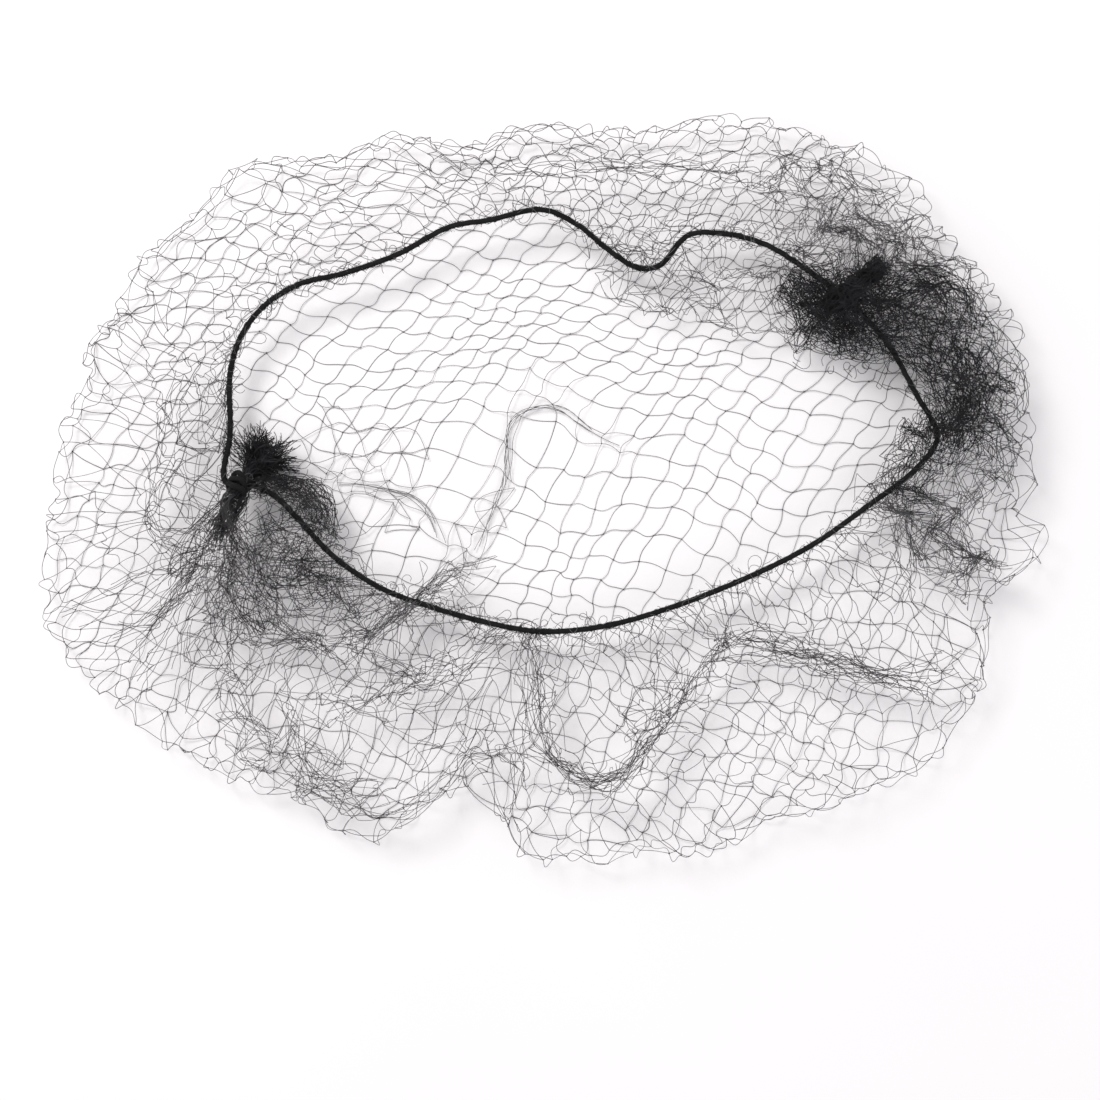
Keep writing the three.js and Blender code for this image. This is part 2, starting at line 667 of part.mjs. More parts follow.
const solids = {
  net_crown: crown,
  net_side: side,
  elastic_cord: largest(cordSolid(0).subtract(knotSpace)),
  cord_knot: knotSolid(),
  left_gather: largest(leftLobes.simplify(FACET_TOLERANCE).add(neckSolid(0)).add(leftTuftSolid())),
  right_gather: largest(rightGatherSolid().subtract(sideSpace.add(cordSpace)).simplify(FACET_TOLERANCE)),
};

const nylon = { color: 0x2b2a2c, roughness: 0.6, metalness: 0 };
const elastic = { color: 0x151416, roughness: 0.85, metalness: 0 };
const finishes = {
  net_crown: nylon,
  net_side: nylon,
  elastic_cord: elastic,
  cord_knot: elastic,
  left_gather: nylon,
  right_gather: nylon,
};

// The net's middle goes to the origin, and its crown on z = 0.
const { min, max } = net.boundingBox();
const middle = [(min[0] + max[0]) / 2, (min[1] + max[1]) / 2, min[2]];

const hairnet = new THREE.Group();
for (const [name, shape] of Object.entries(solids)) {
  const geometry = geometryOf(shape).translate(-middle[0], -middle[1], -middle[2]);
  const mesh = new THREE.Mesh(geometry, new THREE.MeshStandardMaterial(finishes[name]));
  mesh.name = name;
  hairnet.add(mesh);
}

export default hairnet;
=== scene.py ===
import math

import bpy
import numpy as np
from numpy.linalg import norm
from numpy.random import default_rng as seeded
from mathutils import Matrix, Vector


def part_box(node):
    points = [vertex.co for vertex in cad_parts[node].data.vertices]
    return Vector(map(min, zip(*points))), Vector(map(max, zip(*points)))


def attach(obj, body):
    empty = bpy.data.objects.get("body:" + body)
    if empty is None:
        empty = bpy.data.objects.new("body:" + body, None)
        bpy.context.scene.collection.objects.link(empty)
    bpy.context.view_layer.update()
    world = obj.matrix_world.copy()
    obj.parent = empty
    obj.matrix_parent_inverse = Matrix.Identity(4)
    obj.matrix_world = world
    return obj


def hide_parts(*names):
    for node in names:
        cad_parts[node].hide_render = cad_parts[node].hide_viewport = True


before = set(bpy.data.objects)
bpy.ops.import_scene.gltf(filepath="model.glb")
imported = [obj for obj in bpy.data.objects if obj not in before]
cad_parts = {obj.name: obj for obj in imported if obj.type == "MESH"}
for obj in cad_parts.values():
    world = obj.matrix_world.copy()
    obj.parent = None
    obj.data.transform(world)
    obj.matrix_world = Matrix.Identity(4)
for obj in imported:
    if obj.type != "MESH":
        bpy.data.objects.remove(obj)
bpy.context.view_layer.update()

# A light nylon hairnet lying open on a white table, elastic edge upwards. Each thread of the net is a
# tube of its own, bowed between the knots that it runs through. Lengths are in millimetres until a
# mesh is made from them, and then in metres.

MM = 0.001

# The part's own sizes
NET_LENGTH = 238
NET_WIDTH = 176
NET_LOFT = 14
FOLD_REACH = 6
OPENING_LENGTH = 167
OPENING_WIDTH = 99
OPENING = np.array([10.6, 15.6])
RIM_HEIGHT = 10
CORD_DIAMETER = 1.5
KNOT_TURNS = 3
NECK_DIAMETER = 3
NECK_REACH = 7
GATHER_WIDTH = 19
GATHER_FLATNESS = 0.5
LOBE_FLATNESS = 0.6
CLEARANCE = 0.4
STRAND_ANGLES = (64, -14)
KNOT_HEADING = 56
KNOT_RISE = -22
RIGHT_TUFT_ROOT = 0.17
RIGHT_TUFT_HEADING = 37
RIGHT_TUFT_RISE = 20

# The look's own sizes
MESH_PITCH = 6.25  # one real knot of the net to the next
THREAD = 0.08  # radius of one thread
CROWN_THREAD = 0.07
FIBRE = 0.028  # radius of a stray fibre of the cord's cover
THREAD_SIDES = 3
LOWEST = THREAD * 1.3  # how close to the table a thread's middle may lie
SIDE_EASE = 1.12  # width of the side in the flat pattern, for each millimetre of the made-up side
STRAND_SLACK = 1.02  # length of a thread for each millimetre between its knots
CROWN_BOW = 0.5  # the most that a thread of the crown bows out
SIDE_BOW = 1.2
LAYER_SLACK = 1.05  # the same as STRAND_SLACK, for the crumpled layers
LAYER_BOW = 1.0
CORD_COVER = 0.9  # the cover's middle radius as a share of the cord's, for its ridges stand out of it
UPPER_SQUEEZE = 0.26  # how much closer the rows lie in the upper half of the net
UPPER_SHEAR = 0.2
UPPER_BLEND = 8  # how gently that change begins at the middle
CREST = (2, 16)  # the middle of the arch that the crown's rows make over its crease
CREST_RISE = 8
CREST_WIDTH = 17
CREST_SLOPES = (8, 22)  # how far the arch reaches to the front and to the back
FAN_HEART = (-76, -14)  # where the side's threads are drawn to, beside the knot
FAN_PULL = 0.55
FAN_REACH = 45
FAN_HEADINGS = (-172, -98)
FAN_THREADS = 20
LEFT_TUFT_HEADING = 47
HANG = 0.7  # height of threads that hang in the opening, as a share of the cord's height there
BUNDLE_REACH = 1.4  # the furthest that a thread lies from a bundle's middle, in half widths
KNOT_TIGHTNESS = 0.84  # the stretched cord of the knot is thinner than the relaxed one
FOLD_LIFT = 3.0
FOLD_WIDTH = 4.5
CREASE_LIFT = 1.6
FOLD_PULL = 8  # how far from a bunched fold the threads are drawn into it
FOLD_SPREAD = 1.2  # how loosely the threads lie in a bunched fold
LEFT_LIFT = 1.2  # how high the left gather's threads lie over the side
RIGHT_LIFT = 3.5
LAYER_LIFT = 1.6  # from one layer of the right gather to the next
RIGHT_HEIGHTS = (5.5, 20.5)  # the lowest and the highest point of the right gather
RIGHT_TUFT_HEIGHTS = (6, 22)
RIM_LOOPS = 340
FRAME_WIDTH = 258.5  # what the picture shows of the table from left to right
FRAME_MIDDLE = (2.9, -14.8)
TABLE_REACH = 1.6  # half the table's width, in metres

# Outer fold, clockwise from the left, all in percent: x and y of half the net's size, loft of NET_LOFT
OUTLINE = [
    (-100, -30, 85), (-98, -2, 70), (-92, 27, 80), (-84, 52, 70), (-74, 70, 85),
    (-59, 84, 75), (-40, 90, 90), (-21, 94, 80), (3, 98, 95), (22, 97, 80),
    (34, 100, 95), (51, 98, 90), (68, 87, 100), (82, 70, 95), (92, 53, 100),
    (98, 36, 85), (98, 13, 95), (100, -6, 80), (98, -21, 95), (91, -32, 75),
    (88, -50, 90), (81, -70, 75), (61, -85, 95), (41, -94, 75), (20, -99, 95),
    (-2, -100, 85), (-8, -93, 70), (-14, -83, 60), (-20, -87, 75), (-28, -94, 90),
    (-41, -95, 75), (-54, -85, 90), (-77, -68, 75), (-92, -50, 90),
]

# The cord's loop, clockwise from the left of the knot, all in percent: x and y of half the opening's
# size, height of RIM_HEIGHT
RIM = [
    (-100, -29, 110), (-99, -6, 90), (-99, 23, 85), (-96, 40, 90), (-89, 55, 100),
    (-79, 65, 105), (-67, 70, 100), (-52, 79, 95), (-37, 92, 105), (-26, 95, 110),
    (-11, 100, 110), (-1, 93, 100), (8, 81, 90), (16, 73, 85), (22, 74, 85),
    (30, 88, 100), (39, 89, 105), (51, 84, 110), (63, 72, 110), (75, 57, 100),
    (86, 37, 100), (94, 13, 105), (100, -8, 110), (94, -23, 105), (81, -40, 95),
    (65, -59, 90), (46, -75, 90), (23, -90, 85), (5, -98, 85), (-12, -100, 90),
    (-26, -96, 95), (-43, -88, 95), (-57, -79, 90), (-70, -64, 95),
    (-80, -46, 100), (-86, -36, 105), (-92, -31, 110),
]

# Bunched folds of the side: height as a share of FOLD_LIFT, how many loose threads run along the fold,
# and its line in percent of half the net's size
SIDE_FOLDS = [
    (1.0, 22, [(1, -40), (2, -69), (13, -79), (30, -54), (37, -40)]),
    (0.9, 22, [(37, -40), (58, -47), (73, -50), (86, -43)]),
    (0.8, 26, [(-42, -40), (-35, -40), (-26, -32), (-20, -26), (-16, -22), (-11, -25)]),
    (0.9, 12, [(-60, -3), (-65, -12), (-67, -24), (-76, -37), (-79, -45)]),
    (0.8, 12, [(-58, -4), (-61, -20), (-63, -42)]),
    (0.7, 8, [(-15, -80), (-12, -72), (-3, -72), (-5, -85)]),
    (0.6, 7, [(-50, -56), (-46, -74), (-33, -84)]),
    (0.7, 5, [(-68, 34), (-73, 23), (-72, 8)]),
]
CROWN_CREASES = [
    (1.0, 5, [(-16, -30), (-7, 2), (-5, 18), (2, 22), (16, 10)]),
    (0.8, 4, [(-40, 3), (-24, -3), (-18, -16)]),
]

# Slighter folds, given the same way, that the solids leave out
SLIGHT_FOLDS = [
    (0.3, 8, [(-50, -55), (-34, -57), (-18, -51), (-5, -42)]),
    (0.3, 8, [(-55, -73), (-42, -81), (-30, -88), (-15, -78), (-12, -66)]),
    (0.3, 12, [(-56, -20), (-54, -32), (-50, -39), (-37, -43)]),
    (0.3, 8, [(-74, 16), (-76, 3), (-76, -10), (-70, -19)]),
    (0.3, 8, [(58, -47), (72, -53), (86, -54)]),
    (0.3, 9, [(22, -66), (30, -54), (36, -43), (44, -39), (52, -43)]),
    (0.3, 10, [(68, -3), (77, -12), (86, -20), (90, -34)]),
    (0.3, 8, [(70, 0), (73, -15), (74, -30)]),
    (0.3, 7, [(72, 62), (84, 48), (92, 30)]),
    (0.3, 7, [(-20, 82), (10, 86), (36, 84), (55, 80)]),
]

# Lobes of the left gather: heading in degrees, reach and girth as shares of NECK_DIAMETER
LEFT_LOBES = [(-122, 7.2, 2.4), (-72, 10.5, 3.4)]

# The right gather from end to end, all in percent: x and y of half the net's size, girth of GATHER_WIDTH
RIGHT_GATHER = [
    (49, 55, 40), (58, 49, 100), (69, 50, 75), (79, 46, 85), (86, 33, 80),
    (86, 22, 100), (82, 11, 35),
]

# Places where the net lies in several crumpled layers: centre in percent of half the net's size, half
# length and half width in millimetres, heading in degrees, pitch of the crumpled net, how far it strays
# and how many layers lie there
CRUMPLED = [
    ((34, 57), (31, 9), -22, 3.5, 2.2, 2),
    ((66, 63), (32, 16), -38, 2.5, 2.0, 5),
    ((84, 58), (20, 6), -55, 3.2, 2.0, 2),
    ((26, 52), (22, 6), -14, 4.0, 1.8, 2),
    ((90, 15), (25, 13), 70, 3.4, 2.4, 3),
    ((77, -10), (20, 10), -38, 2.9, 2.6, 4),
    ((86.5, -26), (19, 6), -75, 3.0, 2.2, 3),
    ((66, -20), (14, 7), -35, 3.8, 2.2, 1),
    ((75, 5), (14, 7), 60, 2.5, 1.8, 3),
    ((-42, -20), (17, 10), -40, 3.8, 2.6, 1),
    ((-7, -38.5), (17, 6), -14, 3.4, 2.0, 2),
    ((-1, -52), (14, 4), -84, 3.4, 2.0, 1),
    ((22.5, -56), (17, 6), 52, 3.4, 2.2, 2),
    ((22, -38), (22, 5), 12, 4.0, 2.2, 1),
    ((-36, -40), (28, 13), -15, 4.6, 3.0, 2),
    ((-60, -44), (24, 8), -74, 3.4, 2.6, 2),
    ((-47, -73), (27, 8), -30, 3.8, 2.6, 2),
    ((-26, -60), (32, 13), -8, 4.8, 3.0, 1),
    ((-66, 12), (24, 8), 80, 4.6, 2.6, 2),
]
CRUMPLED_CROWN = [
    ((-36, 4), (25, 15), -20, 6.0, 2.0, 1),
    ((-11, -12), (17, 5), 66, 5.2, 2.0, 1),
    ((-17, -27), (15, 7), 30, 5.0, 2.2, 1),
]

# Layers of net pushed together in the gathers, given the same way
LEFT_LAYERS = [
    ((-45.5, -6), (9, 5), -52, 2.3, 1.8, 2),
    ((-48, -20), (12, 8), -60, 2.8, 1.8, 1),
    ((-40, -26), (13, 7), -30, 3.0, 1.8, 1),
]
RIGHT_LAYERS = [
    ((56, 46), (10, 6), -38, 2.3, 2.2, 3),
    ((61, 46), (11, 8), -20, 2.5, 2.2, 2),
    ((75, 44), (14, 9), -45, 3.6, 2.2, 2),
    ((86, 24), (16, 10), -70, 3.0, 2.2, 2),
    ((72, 31), (10, 5), -50, 4.0, 2.2, 1),
    ((76, 10), (13, 6.5), 70, 2.4, 2.2, 4),
]

# Strands of threads in the gathers: line in percent as before, half width, how many threads and how
# far they stray
LEFT_ROPE = [
    ([(-57, -1), (-59, -5), (-61.5, -10), (-64, -15)], 1.9, 90, 0.6),
]
LEFT_STRANDS = [
    ([(-60, -7), (-65, -15), (-69, -26), (-78, -40)], 1.2, 5, 0.6),
    ([(-57, -1), (-51, 0), (-45.5, -1), (-42.5, -5), (-42, -10), (-44, -14)], 2.4, 46, 1.0),
    ([(-58, -4), (-54.5, -10), (-52, -20), (-47, -27), (-39, -29)], 4.2, 16, 1.2),
    ([(-59, -6), (-62, -20), (-61, -35), (-63, -55)], 3.0, 8, 1.1),
]
RIGHT_STRANDS = [
    ([(51, 57), (58, 49), (63, 43), (68, 39)], 3.6, 50, 1.0),
    ([(60, 48), (72, 53), (78.5, 55), (82, 50), (83.5, 40)], 2.6, 34, 1.0),
    ([(65, 42), (76.5, 35), (82, 23), (83, 12)], 3.4, 32, 1.0),
    ([(82, 40), (85, 30), (83, 16), (78, 6)], 3.2, 28, 1.0),
]

# Dense hearts of the gathers: centre, spread, heading and how many curls
LEFT_HEARTS = [((-45, -20), (6.0, 2.8), -47, 130), ((-45, -5), (4.0, 2.0), -50, 80)]
RIGHT_HEARTS = [((59, 46.5), (7.0, 3.4), -40, 320)]

WAVES = 9  # how many waves make up one unrest
NEAR_UPRIGHT = (0.13, 0.21, 1.0)  # no thread runs quite this way, so each tube's sides have a start


# Curves and lookups

def mix(a, b, t, start, end):
    """Between a at the start and b at the end."""
    return ((end - t) * a + (t - start) * b) / (end - start)


def smooth_curve(points, closed, steps):
    """A centripetal Catmull-Rom curve through the points."""
    points = np.asarray(points, float)
    if closed:
        row = np.vstack([points[-1:], points, points[:2]])
    else:
        row = np.vstack([2 * points[0] - points[1], points, 2 * points[-1] - points[-2]])
    spans = []
    for a, b, c, d in zip(row, row[1:], row[2:], row[3:]):
        t1 = math.sqrt(norm(b - a))
        t2 = t1 + math.sqrt(norm(c - b))
        t3 = t2 + math.sqrt(norm(d - c))
        t = np.linspace(t1, t2, steps, endpoint=False)[:, None]
        ab, bc, cd = mix(a, b, t, 0, t1), mix(b, c, t, t1, t2), mix(c, d, t, t2, t3)
        spans.append(mix(mix(ab, bc, t, 0, t2), mix(bc, cd, t, t1, t3), t, t1, t2))
    if not closed:
        spans.append(points[-1:])
    return np.vstack(spans)


def resample(curve, count):
    """The curve's points, spaced evenly along it."""
    length = np.concatenate([[0], np.cumsum(norm(np.diff(curve, axis=0), axis=1))])
    at = np.linspace(0, length[-1], count)
    return np.column_stack([np.interp(at, length, column) for column in curve.T])


def angle_at(plan):
    """Each point's angle round the opening's centre."""
    x, y = (plan - OPENING).T
    return np.arctan2(y, x)


def polar(curve):
    """A lookup from an angle round the opening's centre to the curve's radius and height there."""
    angles = angle_at(curve[:, :2])
    order = np.argsort(angles)
    radius = np.hypot(*(curve[:, :2] - OPENING).T)

    def look(angle):
        columns = radius[order], curve[order, 2]
        return [np.interp(angle, angles[order], column, period=2 * np.pi) for column in columns]

    return look


def outline_curve():
    curve = smooth_curve(np.array(OUTLINE) / 100, True, 20)
    low, high = curve.min(axis=0), curve.max(axis=0)
    plan = ((curve - (low + high) / 2) / (high - low))[:, :2] * (NET_LENGTH, NET_WIDTH)
    return np.column_stack([plan, curve[:, 2] * NET_LOFT])


def rim_points():
    rows = np.array(RIM) / 100
    plan = OPENING + rows[:, :2] * (OPENING_LENGTH / 2, OPENING_WIDTH / 2)
    return np.column_stack([plan, rows[:, 2] * RIM_HEIGHT])


outline_at = polar(outline_curve())
rim_at = polar(smooth_curve(rim_points(), True, 20))


def unit(vectors):
    return vectors / np.maximum(norm(vectors, axis=-1, keepdims=True), 1e-9)


def direction(heading, rise=0.0):
    heading, rise = math.radians(heading), math.radians(rise)
    flat = math.cos(rise)
    return np.array([math.cos(heading) * flat, math.sin(heading) * flat, math.sin(rise)])


def across(axis):
    """Two directions square to an axis and to each other."""
    first = unit(np.cross(axis, (0, 0, 1.0)))
    return first, np.cross(first, axis)


def circle(turn, first, second):
    """Points of a unit circle in the plane of two directions."""
    return np.cos(turn)[:, None] * first + np.sin(turn)[:, None] * second


def line_points(line):
    """Points given in percent of half the net's size, in millimetres."""
    return np.array(line) / 100 * (NET_LENGTH / 2, NET_WIDTH / 2)


def nearest_on_line(plan, corners):
    """For each point, how far off a line of straight stretches is, and the nearest place on it."""
    best, place = np.full(len(plan), 1e9), np.array(plan)
    for start, end in zip(corners, corners[1:]):
        run = end - start
        share = np.clip((plan - start) @ run / (run @ run), 0, 1)
        near = start + share[:, None] * run
        away = norm(plan - near, axis=1)
        nearer = away < best
        best[nearer], place[nearer] = away[nearer], near[nearer]
    return best, place


def wobble(points, wavelength, seed):
    """A smooth unrest of about unit size in three directions, from a few waves at random headings."""
    rng = seeded(seed)
    rows = points.reshape(-1, points.shape[-1])
    total = np.zeros((len(rows), 3))
    for _ in range(WAVES):
        heading = unit(rng.normal(size=rows.shape[1]))
        towards = heading * 2 * np.pi / (wavelength * rng.uniform(0.7, 1.5))
        total += np.sin(rows @ towards + rng.uniform(0, 2 * np.pi))[:, None] * rng.normal(size=3)
    return total.reshape(*points.shape[:-1], 3) / math.sqrt(WAVES)


KNOT = (rim_points()[0] + rim_points()[-1]) / 2
KNOT_AXIS = direction(KNOT_HEADING, KNOT_RISE)
KNOT_PITCH = CORD_DIAMETER * 1.04
KNOT_LENGTH = (KNOT_TURNS + 1) * KNOT_PITCH
COIL_RADIUS = NECK_DIAMETER / 2 + CLEARANCE + CORD_DIAMETER / 2


# The bag

def fold_lift(plan, folds):
    """How much the folds raise each point, from 0 to 1."""
    lift = np.zeros(len(plan))
    for share, _, line in folds:
        away, _ = nearest_on_line(plan, line_points(line))
        lift = np.maximum(lift, share * np.exp(-(away / FOLD_WIDTH) ** 2))
    return lift


def section(angle):
    """The bag's shape at an angle: radius and height of its outer fold and of the cord, where the
    fold's round part starts, its share of the side's width, and that width in the flat pattern."""
    outer, loft = outline_at(angle)
    rim, rim_height = rim_at(angle)
    turn_start = outer - FOLD_REACH
    arc = np.pi / 2 * (FOLD_REACH + loft / 2)
    made = arc + np.abs(turn_start - rim)
    return outer, loft, rim, rim_height, turn_start, arc / made, made * SIDE_EASE


def sheet(pattern):
    """Where points of the flat pattern lie once the bag is made up, and their share of the way from
    the outer fold to the cord, less than nothing in the crown."""
    angle = np.arctan2(pattern[:, 1], pattern[:, 0])
    reach = np.hypot(pattern[:, 0], pattern[:, 1])
    outer, loft, rim, rim_height, turn_start, arc_share, side = section(angle)
    share = (reach - outer) / side
    turned = np.clip(share / arc_share, 0, 1) * np.pi
    back = np.clip((share - arc_share) / (1 - arc_share), 0, 1)
    round_part = turn_start + FOLD_REACH * np.sin(turned)
    radius = np.where(back > 0, turn_start + (rim - turn_start) * back, round_part)
    radius = np.where(share < 0, reach * turn_start / outer, radius)
    height = loft / 2 * (1 - np.cos(turned)) + (rim_height - loft) * back * back * (3 - 2 * back)
    plan = OPENING + radius[:, None] * np.column_stack([np.cos(angle), np.sin(angle)])
    crease = fold_lift(plan, CROWN_CREASES) * CREASE_LIFT
    fold = fold_lift(plan, SIDE_FOLDS) * FOLD_LIFT * np.sin(np.pi * back)
    return np.column_stack([plan, height + np.where(share < 0, crease, fold)]), share


def side_top(plan):
    """How high the side stands over each point, and which points lie in the opening."""
    _, loft, rim, rim_height, turn_start, _, _ = section(angle_at(plan))
    radius = norm(plan - OPENING, axis=1)
    back = np.clip((turn_start - radius) / (turn_start - rim), 0, 1)
    return loft + (rim_height - loft) * back, radius < rim


def draw_into_folds(points, folds, strength, spread, rng):
    """Points near a bunched fold are drawn into it."""
    plan = points[:, :2]
    for share, _, line in folds:
        away, place = nearest_on_line(plan, line_points(line))
        pull = strength * share * np.exp(-(away / FOLD_PULL) ** 2)
        target = place + rng.normal(0, spread, plan.shape)
        plan = plan + (target - plan) * pull[:, None]
    return np.column_stack([plan, points[:, 2]])


def lattice(along, most):
    """An even flat net that runs in two directions: its knots, its threads as pairs of knots, and
    each knot's column and row."""
    column, row = np.meshgrid(np.arange(-most, most + 1), np.arange(-most, most + 1), indexing="ij")
    flat = (column[..., None] * along[0] + row[..., None] * along[1]).reshape(-1, 2)
    number = np.arange(len(flat)).reshape(column.shape)
    ends = [(number[:-1], number[1:]), (number[:, :-1], number[:, 1:])]
    pairs = np.vstack([np.column_stack([a.ravel(), b.ravel()]) for a, b in ends])
    return flat, pairs, column, row


def net_lattice():
    """The net's knots in the flat pattern, the threads between them as pairs of knots, and the side
    that each thread bows out to: by turns along a row."""
    along = [direction(angle)[:2] * MESH_PITCH for angle in STRAND_ANGLES]
    most = math.ceil((NET_LENGTH + NET_WIDTH) / MESH_PITCH / 1.6)
    flat, pairs, column, row = lattice(along, most)
    place = np.concatenate([column[:-1].ravel(), row[:, :-1].ravel()])
    turns = (1 - 2 * (place % 2)).astype(float)
    stray = wobble(flat, 52, 3)[:, :2] * 2.0 + wobble(flat, 19, 4)[:, :2] * 0.6
    stray += unit(along[0]) * (0.45 * (-1.0) ** (column + row)).reshape(-1, 1)
    flat = flat + stray
    upper = np.logaddexp(0, flat[:, 1] / UPPER_BLEND) * UPPER_BLEND
    return flat + np.column_stack([UPPER_SHEAR * upper, -UPPER_SQUEEZE * upper]), pairs, turns


def pattern_reach(points):
    """How far out the flat pattern ends in each point's direction."""
    outer, *_, side = section(np.arctan2(points[:, 1], points[:, 0]))
    return outer + side


def trim_to_rim(inside, outside):
    """The place between two points of the pattern where the cord runs."""
    low, high = np.zeros(len(inside)), np.ones(len(inside))
    for _ in range(12):
        middle = (low + high) / 2
        place = inside + (outside - inside) * middle[:, None]
        within = norm(place, axis=1) < pattern_reach(place)
        low, high = np.where(within, middle, low), np.where(within, high, middle)
    return inside + (outside - inside) * low[:, None]


def unrest(points, share, rng):
    """The net's knots as they stray from the even sheet, most in the slack side, least at the cord."""
    slack = np.clip((1 - share) / 0.25, 0, 1) * np.where(share < 0, 0.14, 1)
    ragged = 0.6 + 0.7 * np.clip(wobble(points[:, :2], 70, 11)[:, 0], -0.6, 1.2)
    wide, narrow = wobble(points[:, :2], 26, 12), wobble(points[:, :2], 11, 13)
    stray = wide * (1.5, 1.5, 1.0) + narrow * (1.2, 1.2, 0.7)
    stray = stray * (slack * ragged)[:, None]
    flat = share < 0
    stray[flat, 2] = np.abs(stray[flat, 2]) * 0.8
    edge = np.exp(-(share / 0.2) ** 2)[:, None] * wobble(points[:, :2], 12, 14) * (0.9, 0.9, 0.6)
    small = rng.normal(0, 0.3, points.shape) * np.maximum(slack, 0.4)[:, None]
    return points + stray + edge + small


def arch_crown(points, share):
    """The crown's rows arch over its crease, away from the front."""
    x, y = points[:, 0] - CREST[0], points[:, 1] - CREST[1]
    inner = np.clip(-share / 0.7, 0, 1)
    front, back = CREST_SLOPES
    rise = CREST_RISE * np.exp(-(x / CREST_WIDTH) ** 2) * np.exp(-(y / np.where(y > 0, back, front)) ** 2)
    return points + np.column_stack([0 * x, rise * inner, 0 * x])


def draw_into_fan(points, share):
    """The side's threads converge beside the knot."""
    away = np.array(FAN_HEART) - points[:, :2]
    distance = norm(away, axis=1)
    pull = FAN_PULL * np.exp(-(distance / FAN_REACH) ** 2) * np.clip((share - 0.1) * 2.5, 0, 1)
    return points + np.column_stack([away * pull[:, None], 0 * distance])


# Threads as meshes

def add(name, data):
    made = bpy.data.objects.new(name, data)
    bpy.context.scene.collection.objects.link(made)
    return made


def make_object(name, vertices, faces, material, slot, replaces=()):
    """A piece of the hairnet from vertices in millimetres and faces of equally many corners."""
    mesh = bpy.data.meshes.new(name)
    vertices = (np.asarray(vertices) - SHIFT) * MM
    mesh.vertices.add(len(vertices))
    mesh.vertices.foreach_set("co", vertices.astype(np.float32).ravel())
    mesh.loops.add(faces.size)
    mesh.loops.foreach_set("vertex_index", faces.astype(np.int32).ravel())
    mesh.polygons.add(len(faces))
    mesh.polygons.foreach_set("loop_start", np.arange(0, faces.size, faces.shape[1], dtype=np.int32))
    mesh.polygons.foreach_set("use_smooth", np.ones(len(faces), dtype=bool))
    mesh.update(calc_edges=True)
    mesh.materials.append(material)
    piece = add(name, mesh)
    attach(piece, "root")
    if replaces:
        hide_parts(*replaces)


def tube_mesh(paths, radius, sides, closed=False, profile=None):
    """Tubes round many paths of equally many points. profile gives each point's own share of the
    radius, for each side of the tube."""
    paths = np.asarray(paths, float)
    count, steps, _ = paths.shape
    before, after = np.roll(paths, 1, axis=1), np.roll(paths, -1, axis=1)
    if not closed:
        before[:, 0], after[:, -1] = paths[:, 0], paths[:, -1]
    ahead = unit(after - before)
    aside = unit(np.cross(ahead, unit(np.array(NEAR_UPRIGHT))))
    above = np.cross(aside, ahead)
    turn = 2 * np.pi * np.arange(sides) / sides
    ring = circle(turn, aside[:, :, None], above[:, :, None])
    radius = np.broadcast_to(np.asarray(radius, float).reshape(-1, 1, 1), (count, steps, sides))
    if profile is not None:
        radius = radius * profile
    vertices = paths[:, :, None] + ring * radius[..., None]
    number = np.arange(count * steps * sides).reshape(count, steps, sides)
    here, onwards = (number, np.roll(number, -1, axis=1)) if closed else (number[:, :-1], number[:, 1:])
    faces = np.stack([here, np.roll(here, -1, axis=2), np.roll(onwards, -1, axis=2), onwards], axis=-1)
    return vertices.reshape(-1, 3), faces.reshape(-1, 4)


def thread_mesh(paths, girth=1.0, closed=False):
    """Net threads along many paths. girth is a share of THREAD."""
    return tube_mesh(paths, THREAD * girth, THREAD_SIDES, closed)


def join(meshes):
    """Several meshes as one."""
    start, vertices, faces = 0, [], []
    for points, quads in meshes:
        vertices.append(points)
        faces.append(quads + start)
        start += len(points)
    return np.vstack(vertices), np.vstack(faces)


def bow_out(paths, rest, side, steepness, rng, most):
    """Threads of a fixed length along given paths. What is slack bows out to one side, by no more
    than most. steepness is how much that side tilts up or down."""
    steps = paths.shape[1]
    length = norm(np.diff(paths, axis=1), axis=2).sum(axis=1)
    slack = np.sqrt(np.clip(rest / np.maximum(length, 0.3) - 1, 0.006, 0.9))
    bow = np.minimum(2 * length / np.pi * slack, most)
    level = unit(np.cross(paths[:, -1] - paths[:, 0], (0, 0, 1.0)))
    tilt = rng.normal(0, steepness, len(paths))
    out = unit(level * side[:, None] + np.column_stack([0 * tilt, 0 * tilt, tilt]))
    share = np.linspace(0, 1, steps)
    skew = rng.normal(0.12, 0.25, (len(paths), 1))
    swing = np.sin(np.pi * share) + skew * np.sin(2 * np.pi * share)
    paths = paths + out[:, None] * (bow[:, None] * swing)[..., None]
    paths[..., 2] = np.maximum(paths[..., 2], LOWEST)
    return paths


def straight(starts, ends, steps):
    """Even points from each start to its end."""
    return starts[:, None] + (ends - starts)[:, None] * np.linspace(0, 1, steps)[:, None]


def coils(starts, lengths, steps, tightness, rng, lift=1.0):
    """Loose threads that lie in smooth loops. tightness is the most that they turn, in radians for
    each millimetre."""
    count = len(starts)
    share = np.linspace(0, 1, steps)
    turning = tightness * rng.uniform(-1, 1, (count, 1))
    waves = np.sin(share * rng.uniform(3, 9, (count, 1)) + rng.uniform(0, 6, (count, 1)))
    turning = turning + 0.7 * tightness * waves
    pace = (lengths / (steps - 1))[:, None]
    heading = rng.uniform(0, 2 * np.pi, (count, 1)) + np.cumsum(turning * pace, axis=1)
    climb = 0.35 * np.sin(share * rng.uniform(3, 8, (count, 1)) + rng.uniform(0, 6, (count, 1))) * lift
    moves = np.stack([np.cos(heading) * pace, np.sin(heading) * pace, climb * pace], axis=-1)
    path = np.cumsum(moves, axis=1)
    return starts[:, None] + path - path[:, :1] - (path[:, -1:] - path[:, :1]) / 2


